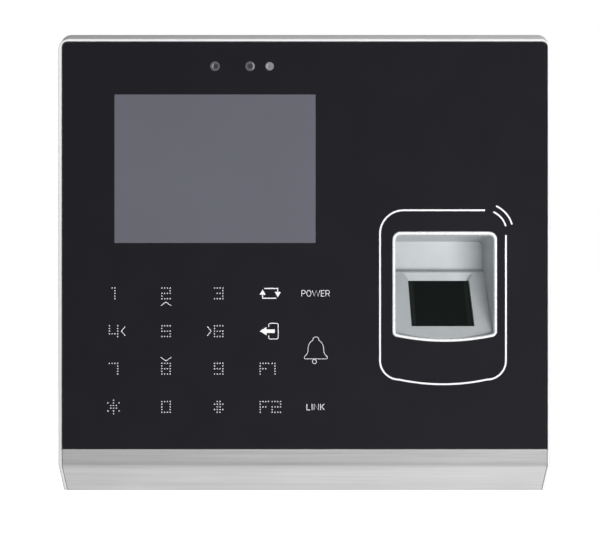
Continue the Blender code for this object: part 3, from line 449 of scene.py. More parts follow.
def plain(name, colour, roughness, metallic=0.0, grain=0.4, depth=0.004, tone=0.06, wander=0.08, **more):
    """A moulded or painted surface: uneven tone, uneven gloss and a fine relief."""
    finish = Finish(name, colour, roughness, metallic, **more)
    finish.tint(finish.spread(finish.noise(grain * 30, 4.0), 1 - tone, 1 + tone))
    gloss = finish.noise(grain * 12, 3.0)
    finish.feed("Roughness", finish.spread(gloss, roughness - wander, roughness + wander))
    finish.bump(finish.noise(grain, 3.0), depth)
    return finish


def silver_lacquer():
    """Silver paint with a fine flake under a clear coat, with painted shade: darker towards the bottom
    edge, lighter towards the top.
    """
    finish = Finish("silver_lacquer", (0.75, 0.75, 0.76), 0.34, 0.25)
    flake = finish.spread(finish.noise(0.08, 1.0), 0.93, 1.05)
    cloud = finish.spread(finish.noise(18.0, 3.0), 0.98, 1.02)
    # Painted shade: the colour runs from 0.82 of the base at the frame's bottom to 1.10 at its top.
    height = finish.spread(finish.along("Z"), 0.82, 1.10, FRAME_LOW.z * MM, FRAME_HIGH.z * MM)
    finish.tint(finish.times(finish.times(flake, cloud), height))
    finish.feed("Roughness", finish.spread(finish.noise(0.5, 2.0), 0.28, 0.40))
    finish.set("Coat Weight", 0.25)
    finish.set("Coat Roughness", 0.12)
    finish.bump(finish.noise(0.25, 2.0), 0.0015)
    return finish.material


def panel_gloss():
    """Black printed acrylic: deep gloss, faint smears where fingers touch."""
    finish = Finish("panel_gloss", (0.0091, 0.0087, 0.0112), 0.06, specular=0.5)
    finish.tint(finish.spread(finish.noise(14.0, 4.0), 0.96, 1.05))
    smear = finish.spread(finish.noise(9.0, 5.0, stretch=(1, 1, 0.5)), 0.035, 0.11, 0.42, 0.78)
    dust = finish.spread(finish.noise(0.35, 0.0), 0.0, 0.05, 0.66, 0.72)
    finish.feed("Roughness", finish.plus(smear, dust))
    finish.bump(finish.noise(30.0, 1.0), 0.002)
    return finish.material


def brushed_strip():
    """Steel brushed along its length: long fine streaks in tone, gloss and relief, with painted shade
    darkening it at the bend.
    """
    finish = Finish("brushed_strip", (0.545, 0.545, 0.545), 0.36, 0.6)
    fine = finish.noise(0.16, 3.0, stretch=(0.006, 1, 1), rough=0.7)
    broad = finish.noise(1.6, 3.0, stretch=(0.02, 1, 1))
    cloud = finish.noise(22.0, 2.0, stretch=(0.5, 1, 1))
    tone = finish.times(finish.spread(fine, 0.90, 1.08), finish.spread(broad, 0.95, 1.05))
    # Painted shade: the colour drops to 0.80 within 1.8 mm of the bend.
    bend = finish.node("ShaderNodeMath", operation="SUBTRACT")
    finish.link(finish.along("Z"), bend.inputs[0])
    bend.inputs[1].default_value = (CREASE_Z + 0.5) * MM
    reach = finish.node("ShaderNodeMath", operation="ABSOLUTE")
    finish.link(bend.outputs[0], reach.inputs[0])
    painted_bend_shade = finish.spread(reach.outputs[0], 0.80, 1.0, 0.0, 1.8 * MM)
    finish.tint(finish.times(finish.times(tone, painted_bend_shade), finish.spread(cloud, 0.97, 1.03)))
    finish.feed("Roughness", finish.spread(fine, 0.28, 0.46))
    finish.set("Anisotropic", 0.75)
    tangent = finish.node("ShaderNodeCombineXYZ")
    tangent.inputs["X"].default_value = 1.0
    finish.feed("Tangent", tangent.outputs[0])
    finish.bump(finish.plus(fine, finish.times(broad, 0.5)), 0.004)
    return finish.material


def well_silver():
    """Satin silver lacquer of the finger recess."""
    finish = Finish("well_silver", (0.405, 0.426, 0.437), 0.42, 0.05, specular=0.35)
    flake = finish.spread(finish.noise(0.07, 1.0), 0.95, 1.05)
    finish.tint(finish.times(flake, finish.spread(finish.noise(8.0, 3.0), 0.97, 1.03)))
    finish.feed("Roughness", finish.spread(finish.noise(0.6, 2.0), 0.30, 0.42))
    finish.bump(finish.noise(0.2, 2.0), 0.0015)
    return finish.material


def bright_rim():
    """Polished light rim of the recess."""
    finish = Finish("bright_rim", (0.68, 0.685, 0.69), 0.26, 0.1)
    finish.tint(finish.spread(finish.noise(0.1, 2.0), 0.97, 1.03))
    finish.feed("Roughness", finish.spread(finish.noise(1.2, 3.0), 0.25, 0.31))
    finish.bump(finish.noise(1.5, 2.0), 0.0002)
    return finish.material


def sensor_glass():
    """Coated prism face: nearly black, with a painted highlight: paler strips along its left and right
    edges, where its side faces begin.
    """
    finish = Finish("sensor_glass", (0.0045, 0.0062, 0.0056), 0.05, specular=0.12)
    # Painted highlight: beyond 9.3 mm from the window's centre line the colour turns paler.
    offset = finish.node("ShaderNodeMath", operation="SUBTRACT")
    finish.link(finish.along("X"), offset.inputs[0])
    offset.inputs[1].default_value = WINDOW_X * MM
    reach = finish.node("ShaderNodeMath", operation="ABSOLUTE")
    finish.link(offset.outputs[0], reach.inputs[0])
    edge = finish.spread(reach.outputs[0], 0.0, 1.0, 9.3 * MM, 9.6 * MM)
    smear = finish.spread(finish.noise(5.0, 4.0), 0.0, 1.0, 0.35, 0.75)
    base = finish.blend(edge, (0.0045, 0.0062, 0.0056), (0.011, 0.014, 0.013))
    finish.feed("Base Color", base)
    finish.feed("Roughness", finish.spread(smear, 0.04, 0.14, 0.0, 1.0))
    finish.bump(finish.noise(6.0, 2.0), 0.001)
    return finish.material


def display_grey():
    """Unlit display behind the window: flat grey with the finest trace of its cell rows."""
    finish = Finish("display_grey", (0.092, 0.094, 0.112), 0.22, specular=0.35)
    lines = 1 / (0.22 * MM) / 6.283
    row = finish.node("ShaderNodeTexWave", bands_direction="Z")
    row.inputs["Scale"].default_value = lines
    finish.link(finish.place, row.inputs["Vector"])
    column = finish.node("ShaderNodeTexWave", bands_direction="X")
    column.inputs["Scale"].default_value = lines
    finish.link(finish.place, column.inputs["Vector"])
    cells = finish.times(
        finish.spread(row.outputs["Fac"], 0.985, 1.015, 0, 1),
        finish.spread(column.outputs["Fac"], 0.985, 1.015, 0, 1),
    )
    finish.tint(finish.times(cells, finish.spread(finish.noise(40.0, 2.0), 0.985, 1.015)))
    finish.feed("Roughness", finish.spread(finish.noise(30.0, 1.0), 0.21, 0.25))
    return finish.material


def ink(name, colour):
    """Screen-printed ink: slightly uneven and matt."""
    finish = Finish(name, colour, 0.45)
    finish.tint(finish.spread(finish.noise(0.12, 2.0), 0.95, 1.04))
    finish.feed("Roughness", finish.spread(finish.noise(0.4, 2.0), 0.38, 0.55))
    finish.bump(finish.noise(0.08, 1.0), 0.002)
    return finish.material


def moulded_black(name, roughness=0.55, tone=0.10):
    """Black plastic from a spark-eroded mould."""
    finish = Finish(name, (0.030, 0.030, 0.032), roughness)
    grain = finish.node("ShaderNodeTexVoronoi")
    grain.inputs["Scale"].default_value = 1 / (0.45 * MM)
    finish.link(finish.place, grain.inputs["Vector"])
    finish.tint(finish.spread(finish.noise(12.0, 4.0), 1 - tone, 1 + tone))
    finish.feed("Roughness", finish.spread(finish.noise(1.0, 3.0), roughness - 0.08, roughness + 0.1))
    finish.bump(finish.plus(grain.outputs["Distance"], finish.noise(0.2, 2.0)), 0.02)
    return finish.material


def zinc_plate():
    """Zinc plated sheet: rolled grain and soft spangles."""
    finish = Finish("zinc_plate", (0.56, 0.57, 0.58), 0.42, 1.0)
    spangle = finish.node("ShaderNodeTexVoronoi")
    spangle.inputs["Scale"].default_value = 1 / (3.2 * MM)
    finish.link(finish.stretched((1, 1, 1)), spangle.inputs["Vector"])
    shade = finish.spread(spangle.outputs["Color"], 0.965, 1.03, 0.0, 1.0)
    roll = finish.noise(0.25, 3.0, stretch=(1, 1, 0.03))
    finish.tint(finish.times(shade, finish.spread(roll, 0.94, 1.05)))
    finish.feed("Roughness", finish.spread(roll, 0.32, 0.52))
    finish.bump(roll, 0.004)
    return finish.material


def circuit_board():
    """Solder resist over copper tracks."""
    finish = Finish("circuit_board", (0.012, 0.11, 0.045), 0.34)
    brick = finish.node("ShaderNodeTexBrick")
    brick.inputs["Scale"].default_value = 1 / (6.0 * MM)
    brick.inputs["Mortar Size"].default_value = 0.06
    brick.inputs["Color1"].default_value = (0.010, 0.085, 0.036, 1)
    brick.inputs["Color2"].default_value = (0.014, 0.120, 0.050, 1)
    brick.inputs["Mortar"].default_value = (0.030, 0.240, 0.090, 1)
    swap = finish.node("ShaderNodeMapping")
    swap.inputs["Rotation"].default_value = (math.pi / 2, 0, 0)
    finish.link(finish.place, swap.inputs["Vector"])
    finish.link(swap.outputs["Vector"], brick.inputs["Vector"])
    finish.feed("Base Color", brick.outputs["Color"])
    finish.feed("Roughness", finish.spread(finish.noise(2.0, 3.0), 0.26, 0.42))
    finish.bump(finish.plus(brick.outputs["Fac"], finish.noise(0.5, 2.0)), 0.01)
    return finish.material


SILVER = silver_lacquer()
PANEL = panel_gloss()
STRIP = brushed_strip()
WELL = well_silver()
RIM = bright_rim()
SENSOR_GLASS = sensor_glass()
DISPLAY = display_grey()
WHITE_INK = ink("white_ink", (0.66, 0.66, 0.67))
KEY_INK = ink("key_ink", (0.45, 0.45, 0.465))
COVER_BLACK = moulded_black("cover_black")
PART_BLACK = moulded_black("part_black", 0.45)
ZINC = zinc_plate()
BOARD = circuit_board()
RUBBER = plain("black_rubber", (0.018, 0.018, 0.018), 0.78, grain=0.3, depth=0.01).material
TIN = plain("tin_plate", (0.62, 0.62, 0.61), 0.30, 1.0, grain=0.3, depth=0.002).material
NICKEL = plain("nickel", (0.66, 0.65, 0.62), 0.24, 1.0, grain=0.2, depth=0.002).material
GREEN = plain("green_plastic", (0.03, 0.26, 0.08), 0.42).material
BLUE = plain("blue_plastic", (0.05, 0.12, 0.40), 0.40).material
WHITE = plain("white_plastic", (0.78, 0.78, 0.75), 0.45).material
AMBER = plain("amber_film", (0.50, 0.24, 0.05), 0.34, grain=0.8).material
ACRYLIC = plain("clear_acrylic", (0.70, 0.74, 0.74), 0.08, grain=2.0, depth=0.002, wander=0.03).material
LENS = plain("lens_glass", (0.010, 0.012, 0.016), 0.06, grain=2.0, depth=0.001, wander=0.02).material


# ---- Front frame, glass and trim strip -----------------------------------------------------------


def lower_slope():
    return (FRAME_LOW.z - CREASE_Z) / LOWER_SLOPE_DEPTH


def folded_profile(depth, top, back, fold_radius=0.0):
    """The (y, z) line of the strip's outer face, moved depth millimetres into the terminal."""
    slope = lower_slope()
    shift = depth * math.hypot(1.0, slope)
    front, base = FRONT_Y + depth, FRAME_LOW.z + depth
    fold = (front, CREASE_Z + slope * (front - FRONT_Y) + shift)
    heel = (FRONT_Y + (base - CREASE_Z - shift) / slope, base)
    line = [(front, top)]
    for before, corner, after in (((front, top), fold, heel), (fold, heel, (back, base))):
        line += fillet(before, corner, after, fold_radius)
    line.append((back, base))
    return line


def fillet(before, corner, after, radius, steps=8):
    """Points that round a corner between two straight runs."""
    if radius <= 0:
        return [corner]
    corner = Vector(corner)
    one = (Vector(before) - corner).normalized()
    two = (Vector(after) - corner).normalized()
    half_angle = one.angle(two) / 2
    reach = radius / math.tan(half_angle)
    start, end = corner + one * reach, corner + two * reach
    points = []
    for i in range(steps + 1):
        share = i / steps
        near, far = start.lerp(corner, share), corner.lerp(end, share)
        points.append(tuple(near.lerp(far, share)))
    return points


def frame_body():
    slope = lower_slope()
    rise = (FRAME_HIGH.z - RIM_TOP) / TOP_SLOPE_DEPTH
    half = FRAME_HIGH.x
    sections = []
    for step in range(5):
        turn = math.radians(90 * step / 4)
        back = EDGE_BREAK * (1 - math.cos(turn))
        inset = EDGE_BREAK * (1 - math.sin(turn))
        sections.append((back, inset, rise * back, slope * back))
    sections.append((TOP_SLOPE_DEPTH, 0.0, rise * TOP_SLOPE_DEPTH, slope * TOP_SLOPE_DEPTH))
    sections.append((LOWER_SLOPE_DEPTH, 0.0, rise * TOP_SLOPE_DEPTH, slope * LOWER_SLOPE_DEPTH))
    sections.append((FRAME_HIGH.y - FRONT_Y, 0.0, rise * TOP_SLOPE_DEPTH, slope * LOWER_SLOPE_DEPTH))
    rings = []
    for depth, inset, up, down in sections:
        outline = rounded(
            -half + inset, half - inset, CREASE_Z + down, RIM_TOP + up,
            CORNER_RADIUS - inset, 1.0 - inset / 2,
        )
        rings.append(at_y(outline, FRONT_Y + depth))
    return loft(bmesh.new(), rings)


def open_bottom_wall(item):
    """USB opening with the flap's recess, speaker slots and the microphone hole."""
    below, deep = FRAME_LOW.z - 2.0, FRAME_LOW.z + 4.0
    port_low, port_high = box_mm("usb_port")
    openings = box(port_low.x - 0.6, port_high.x + 0.6, *USB_OPENING_Y, below, deep)
    speaker_low, speaker_high = box_mm("speaker")
    centre = (speaker_low.x + speaker_high.x) / 2
    half = SPEAKER_SLOT / 2
    for slot in range(SPEAKER_SLOTS):
        x = centre + (slot - (SPEAKER_SLOTS - 1) / 2) * SPEAKER_SLOT_PITCH
        add(openings, box(x - half, x + half, speaker_low.y + 1.5, speaker_high.y - 1.5, below, deep))
    boolean(item, openings)
    flap_low, flap_high = box_mm("usb_cover")
    recess = box(
        flap_low.x - 0.4, flap_high.x + 0.4, flap_low.y - 0.4, flap_high.y + 0.55,
        below, FRAME_LOW.z + FLAP_RECESS,
    )
    boolean(item, recess)
    microphone_low, microphone_high = box_mm("microphone")
    middle = (microphone_low + microphone_high) / 2
    ring = arc((middle.x, middle.y), MICROPHONE_HOLE / 2, 0, 360, 16)[:-1]
    boolean(item, loft(bmesh.new(), [[(x, y, z) for x, y in ring] for z in (below, deep)]))


def front_frame():
    item = make("silver_frame", frame_body())
    side = GLASS_HIGH.x + SEAM
    pocket = rounded(-side, side, GLASS_LOW.z - 0.7, GLASS_HIGH.z + SEAM, 2.0, 0.1)
    strip_end = STRIP_HIGH.x + STRIP_END_GAP
    boolean(item, prism(pocket, FRONT_Y - 8, GLASS_HIGH.y + 0.6))
    seat = folded_profile(STRIP_THICKNESS + SEAM, GLASS_LOW.z - 0.4, STRIP_HIGH.y + SEAM)
    clear_y, clear_z = FRONT_Y - 9, FRAME_LOW.z - 9
    outside = [(seat[-1][0], clear_z), (clear_y, clear_z), (clear_y, seat[0][1])]
    boolean(item, bar(seat + outside, -strip_end, strip_end))
    cavity = [
        (CAVITY_FRONT_Y, CAVITY_TOP), (0.0, CAVITY_TOP), (0.0, CAVITY_FLOOR),
        (CAVITY_FRONT_Y + CAVITY_TAPER, CAVITY_FLOOR), (CAVITY_FRONT_Y, CAVITY_TAPER_TOP),
    ]
    boolean(item, bar(cavity, -CAVITY_SIDE, CAVITY_SIDE))
    deep_cavity = (FRONT_Y - 4, DEEP_CAVITY_BACK_Y, DEEP_CAVITY_FLOOR, CAVITY_TOP)
    boolean(item, box(-CAVITY_SIDE, CAVITY_SIDE, *deep_cavity))
    open_bottom_wall(item)
    return stand_in(item, SILVER, (0.12, 2, 40), "front_frame")


def front_glass():
    outline = rounded(GLASS_LOW.x, GLASS_HIGH.x, GLASS_LOW.z, GLASS_HIGH.z, GLASS_CORNER, 0.15)
    item = make("glass_panel", prism(outline, GLASS_FACE, GLASS_HIGH.y))
    boolean(item, prism(well_outline(-SEAM + 0.12), GLASS_FACE - 4, GLASS_HIGH.y + 4))
    return stand_in(item, PANEL, (0.18, 3, 40), "front_glass")


def trim_strip():
    outer = folded_profile(0.0, STRIP_HIGH.z, STRIP_HIGH.y, STRIP_FOLD)
    inner = folded_profile(STRIP_THICKNESS, STRIP_HIGH.z, STRIP_HIGH.y, STRIP_FOLD - STRIP_THICKNESS)
    item = make("steel_strip", bar(outer + inner[::-1], STRIP_LOW.x, STRIP_HIGH.x))
    return stand_in(item, STRIP, (0.15, 3, 50), "trim_strip")


# ---- Finger recess -------------------------------------------------------------------------------


def well_outline(inset, draft=0.0, drop=0.0):
    return rounded(
        WELL_LEFT + inset + draft, WELL_RIGHT - inset - draft,
        WELL_BOTTOM + inset, WELL_TOP - inset - drop,
        max(WELL_TOP_RADIUS - inset, 1.2), max(WELL_BOTTOM_RADIUS - inset, 0.9),
        bow=WELL_BOW, bow_steps=24,
    )


def on_platform(down, depth):
    sine, cosine = math.sin(PLATFORM_TILT), math.cos(PLATFORM_TILT)
    y = PLATFORM_DATUM[0] - down * sine + depth * cosine
    z = PLATFORM_DATUM[1] - down * cosine - depth * sine
    return y, z


def platform_block(half_width, start, end, shallow, deep):
    left, right = WINDOW_X - half_width, WINDOW_X + half_width
    rings = []
    for depth in (shallow, deep):
        upper, lower = on_platform(start, depth), on_platform(end, depth)
        rings.append([(left, *upper), (right, *upper), (right, *lower), (left, *lower)])
    return loft(bmesh.new(), rings)


def window_ramp():
    """Cutter for the ramp that leads down to the window's upper edge, wider at its top."""
    rings = []
    for depth, side, rise in ((-0.6, RAMP_SIDE, RAMP_RISE), (WINDOW_DEPTH, 0.0, 0.0)):
        upper, lower = on_platform(WINDOW_START - rise, depth), on_platform(WINDOW_START + 0.3, depth)
        wide, narrow = WINDOW_HALF_WIDTH + side, WINDOW_HALF_WIDTH
        rings.append([
            (WINDOW_X - wide, *upper), (WINDOW_X + wide, *upper),
            (WINDOW_X + narrow, *lower), (WINDOW_X - narrow, *lower),
        ])
    return loft(bmesh.new(), rings)


def recess_shape():
    depth = WELL_WALL_Y - WELL_FRONT_Y
    tilt = 2.0 / depth
    front = well_outline(WELL_RIM, -WELL_DRAFT * tilt, -CEILING_DROP * tilt)
    back = well_outline(WELL_RIM, WELL_DRAFT * (1 + tilt), CEILING_DROP * (1 + tilt))
    rings = [at_y(front, WELL_FRONT_Y - 2), at_y(back, WELL_WALL_Y + 2)]
    item = make("recess_helper", loft(bmesh.new(), rings))
    foot = on_platform(PLATFORM_FOOT, 0.0)
    limit = [
        (WELL_FRONT_Y - 3, foot[1]), foot, on_platform(PLATFORM_CREST, 0.0), (WELL_WALL_Y, LEDGE_BACK_Z),
        (WELL_WALL_Y, 20.0), (WELL_FRONT_Y - 3, 20.0),
    ]
    boolean(item, bar(limit, WELL_LEFT - 5, WELL_RIGHT + 5), "INTERSECT")
    return item


def sensor_well():
    rim_back = WELL_FRONT_Y + 0.9
    item = make("recess_shell", prism(well_outline(0.0), rim_back, WELL_BACK_Y))
    boolean(item, prism(well_outline(-FLANGE), GLASS_HIGH.y + 0.3, GLASS_HIGH.y + 1.5), "UNION")
    recess = recess_shape()
    step = item.modifiers.new("Recess", "BOOLEAN")
    step.object = recess
    bake(item)
    bpy.data.objects.remove(recess, do_unlink=True)
    boolean(item, platform_block(WINDOW_HALF_WIDTH, WINDOW_START, WINDOW_END, -0.6, WINDOW_DEPTH))
    boolean(item, window_ramp())
    seat = (WINDOW_HALF_WIDTH, WINDOW_START, WINDOW_END, WINDOW_DEPTH - 0.3, WINDOW_SEAT)
    boolean(item, platform_block(*seat))
    hole = (WINDOW_HALF_WIDTH - WINDOW_BORDER, WINDOW_START + WINDOW_BORDER, WINDOW_END - WINDOW_BORDER)
    boolean(item, platform_block(*hole, WINDOW_SEAT - 0.5, 9.0))
    near = on_platform(0.0, PLATFORM_WALL)
    slope = math.tan(PLATFORM_TILT)
    pocket = [(near[0] + (z - near[1]) * slope, z) for z in OPTICS_POCKET_Z]
    pocket += [(0.0, z) for z in reversed(OPTICS_POCKET_Z)]
    half = OPTICS_POCKET_HALF_WIDTH
    boolean(item, bar(pocket, WINDOW_X - half, WINDOW_X + half))
    return stand_in(item, WELL, (0.22, 3, 28), "sensor_well")


def sensor_rim():
    """The bright lip round the recess: a half-round bead standing a little proud of the glass."""
    section = [
        (0.08, 1.2), (0.08, 0.40), (0.14, 0.18), (0.28, 0.05), (0.46, 0.0),
        (0.66, 0.0), (0.84, 0.05), (0.98, 0.18), (1.06, 0.42), (1.19, 1.2),
    ]
    rings = [at_y(well_outline(inset), WELL_FRONT_Y + depth) for inset, depth in section]
    item = make("recess_rim", loft(bmesh.new(), rings, ring_shaped=True), 60)
    item.data.materials.append(RIM)
    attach(item, TERMINAL)
    return item


def sensor_window():
    play = 0.08
    shape = platform_block(
        WINDOW_HALF_WIDTH - play, WINDOW_START + play, WINDOW_END - play,
        WINDOW_DEPTH, WINDOW_DEPTH + WINDOW_THICKNESS,
    )
    item = make("prism_window", shape)
    return stand_in(item, SENSOR_GLASS, (0.12, 3), "sensor_window")


# ---- Print and windows on the glass --------------------------------------------------------------

DIGITS = {
    "1": (".##.", "..#.", "..#.", "..#.", "..#."),
    "2": ("####", "...#", "####", "#...", "####"),
    "3": ("####", "...#", ".###", "...#", "####"),
    "4": ("#..#", "#..#", "#..#", "####", "...#"),
    "5": ("####", "#...", "####", "...#", "####"),
    "6": ("####", "#...", "####", "#..#", "####"),
    "7": ("####", "...#", "...#", "...#", "...#"),
    "8": ("####", "#..#", "####", "#..#", "####"),
    "9": ("####", "#..#", "####", "...#", "####"),
    "star": ("..#..", "#.#.#", ".###.", ".###.", "#.#.#", "..#.."),
    "0": ("####", "#..#", "#..#", "#..#", "####"),
    "hash": (".##.", "####", ".##.", "####", ".##."),
    "F": ("####", "#...", "###.", "#...", "#..."),
    "one": ("##", ".#", ".#", ".#", ".#"),
}
KEY_LAYOUT = (("1", "2", "3"), ("4", "5", "6"), ("7", "8", "9"), ("star", "0", "hash"))


def dot(x, z):
    """A printed dot with a slightly crowned face."""
    crown = (DOT_RADIUS * 0.55, PRINT_FACE - 0.012)
    profile = [crown, (DOT_RADIUS, PRINT_FACE), (DOT_RADIUS, PRINT_BACK)]
    return turned((x, z), profile, 16)


def dots(pattern, x, z):
    """The dots of a character whose centre is at x, z."""
    rows, columns = len(pattern), len(pattern[0])
    shapes = []
    for row, line in enumerate(pattern):
        for column, mark in enumerate(line):
            if mark == "#":
                dx = (column - (columns - 1) / 2) * DOT_PITCH[0]
                dz = ((rows - 1) / 2 - row) * DOT_PITCH[1]
                shapes.append(dot(x + dx, z + dz))
    return shapes


def keypad_print():
    for row, names in enumerate(KEY_LAYOUT):
        for column, name in enumerate(names):
            printed(f"key_{name}", dots(DIGITS[name], KEY_COLUMNS[column], KEY_ROWS[row]), KEY_INK)
    letter_x = ICON_X - 2.1
    for name, pattern, row, dx in (("F1", "one", 2, 0.35), ("F2", "2", 3, 1.35)):
        shapes = dots(DIGITS["F"], letter_x, KEY_ROWS[row])
        shapes += dots(DIGITS[pattern], ICON_X + 0.85 + dx, KEY_ROWS[row])
        printed(f"key_{name}", shapes, KEY_INK)


def chevrons():
    """Direction marks beside the 2, 4, 6 and 8."""
    half, rise, line = 1.9, 1.35, 0.20
    places = {
        "up": ((KEY_COLUMNS[1], KEY_ROWS[0] - 3.1), (0, 1)),
        "down": ((KEY_COLUMNS[1], KEY_ROWS[2] + 2.75), (0, -1)),
        "left": ((KEY_COLUMNS[0] + 2.8, KEY_ROWS[1]), (-1, 0)),
        "right": ((KEY_COLUMNS[2] - 2.7, KEY_ROWS[1]), (1, 0)),
    }
    for name, ((x, z), (dx, dz)) in places.items():
        reach = half * 0.87 if dx else half
        start, end = (
            (x - dx * rise + side * dz * reach, z - dz * rise + side * dx * reach) for side in (-1, 1)
        )
        printed(f"chevron_{name}", [stroke([start, (x, z), end], line)], WHITE_INK)


def filled(points):
    """A flat printed area inside (x, z) points."""
    return prism(points, PRINT_FACE, PRINT_BACK)


def loop_icon():
    """Two arrows chasing each other round a rectangle."""
    x, z, line = ICON_X, KEY_ROWS[0], 0.36
    shapes = []
    for side in (-1, 1):
        corner = (x + side * 2.7, z + side * 1.75)
        path = [(x - side * 2.2, corner[1]), corner, (corner[0], z + side * 0.4)]
        shapes.append(stroke(path, line))
        foot = z + side * 0.5
        head = [(corner[0] - side * 1.1, foot), (corner[0] + side * 1.1, foot), (corner[0], z - side * 1.4)]
        shapes.append(filled(head))
    return printed("icon_loop", shapes, WHITE_INK)


def exit_icon():
    """A door outline with an arrow leaving it to the left."""
    z, line = KEY_ROWS[1], 0.27
    left, right, half = ICON_X - 0.5, ICON_X + 2.85, 2.8
    gap, radius = 1.45, 0.55
    path = [(left, z + gap), (left, z + half - radius)]
    path += arc((left + radius, z + half - radius), radius, 180, 90, 5)
    path += arc((right - radius, z + half - radius), radius, 90, 0, 5)
    path += arc((right - radius, z - half + radius), radius, 0, -90, 5)
    path += arc((left + radius, z - half + radius), radius, -90, -180, 5)
    path.append((left, z - gap))
    tip = ICON_X - 3.8
    arrow = [
        (tip, z), (tip + 2.5, z + 1.45), (tip + 2.5, z + 0.62), (tip + 5.45, z + 0.62),
        (tip + 5.45, z - 0.62), (tip + 2.5, z - 0.62), (tip + 2.5, z - 1.45),
    ]
    return printed("icon_exit", [stroke(path, line), filled(arrow)], WHITE_INK)


def bell_icon():
    x, top, line = LABEL_X + 0.1, -26.45, 0.25
    base = top - 7.85
    side = [
        (0.0, 0.0), (0.55, -0.1), (0.95, -0.5), (1.05, -1.15), (1.8, -1.75), (2.45, -2.6), (2.75, -3.7),
        (2.85, -5.3), (3.1, -6.0), (3.6, -6.6), (4.1, -7.15), (4.15, -7.6), (3.9, -7.85),
    ]
    right = [(x + dx, top + dz) for dx, dz in side]
    left = [(x - dx, top + dz) for dx, dz in side[1:]]
    outline = left[::-1] + right
    clapper = arc((x - 0.5, base - 0.95), 0.75, 0, 360, 20)
    shapes = [stroke(outline, line), stroke([outline[-1], outline[0]], line)]
    shapes.append(stroke(clapper[:-1], line, closed=True))
    return printed("icon_bell", shapes, ink("bell_ink", (0.46, 0.46, 0.47)))


def letter_paths(letter, size):
    """The strokes of a plain capital that is size high, from its lower left corner; and its width."""
    w = size * 0.62
    bowl = size * 0.27
    upper = arc((w - bowl, size - bowl), bowl, 90, -90, 8)
    if letter == "P":
        return [[(0, 0), (0, size), *upper, (0, size - 2 * bowl)]], w
    if letter == "R":
        leg = [(w - bowl, size - 2 * bowl), (w, 0)]
        return [[(0, 0), (0, size), *upper, (0, size - 2 * bowl)], leg], w
    if letter == "O":
        wide, tall = size * 0.37, size / 2
        turns = [2 * math.pi * step / 24 for step in range(24)]
        ring = [(wide + wide * math.cos(a), tall + tall * math.sin(a)) for a in turns]
        return [ring + ring[:1]], 2 * wide
    if letter == "W":
        w = size * 1.3
        return [[(0, size), (w * 0.25, 0), (w * 0.5, size), (w * 0.75, 0), (w, size)]], w
    if letter == "E":
        bar_of_e = [(0, size / 2), (w * 0.8, size / 2)]
        sides = [(w * 0.9, size), (0, size), (0, 0), (w * 0.9, 0)]
        return [sides, bar_of_e], w * 0.9
    if letter == "L":
        return [[(0, size), (0, 0), (w * 0.85, 0)]], w * 0.85
    if letter == "I":
        return [[(0, 0), (0, size)]], 0.0
    if letter == "N":
        w = size * 0.74
        return [[(0, 0), (0, size), (w, 0), (w, size)]], w
    if letter == "K":
        arm, leg = [(w, size), (0, size * 0.42)], [(w * 0.28, size * 0.58), (w, 0)]
        return [[(0, 0), (0, size)], arm, leg], w
    raise ValueError(letter)


def label(name, word, x, z, size, gap, line):
    """A function word in plain strokes, centred on x, z."""
    letters = [letter_paths(letter, size) for letter in word]
    width = sum(w for _, w in letters) + gap * (len(word) - 1)
    shapes = []
    at = x - width / 2
    for paths, w in letters:
        for path in paths:
            shapes.append(stroke([(at + px, z - size / 2 + pz) for px, pz in path], line))
        at += w + gap
    return printed(name, shapes, WHITE_INK)


def reading_zone():
    """Printed outline round the recess, and two radio arcs at its open corner."""
    left, right = WELL_LEFT - 4.33, WELL_RIGHT + 3.18
    top, bottom = WELL_TOP + 7.57, WELL_BOTTOM - 15.2
    corner, lower, bow, line = 8.4, 6.8, 1.65, 0.62
    path = [(right, WELL_TOP - 1.3), (right, bottom + lower)]
    path += arc((right - lower, bottom + lower), lower, 0, -90)
    span = right - left - 2 * lower
    for step in range(1, 24):
        share = step / 24
        path.append((right - lower - span * share, bottom - 4 * bow * share * (1 - share)))
    path += arc((left + lower, bottom + lower), lower, -90, -180)
    path += arc((left + corner, top - corner), corner, 180, 90)
    path.append((right - 7.5, top))
    printed("zone_outline", [stroke(path, line)], WHITE_INK)
    centre = (right - 7.58, WELL_TOP - 0.2)
    for number, radius in enumerate((7.8, 10.1), 1):
        printed(f"radio_arc_{number}", [stroke(arc(centre, radius, 15.5, 66.5, 16), 0.56)], WHITE_INK)


def display_window():
    (cx, cz), (width, height) = DISPLAY_CENTRE, DISPLAY_SIZE
    outline = rounded(cx - width / 2, cx + width / 2, cz - height / 2, cz + height / 2, 0.2, 0.2, 3)
    return piece("display_window", filled(outline), DISPLAY)


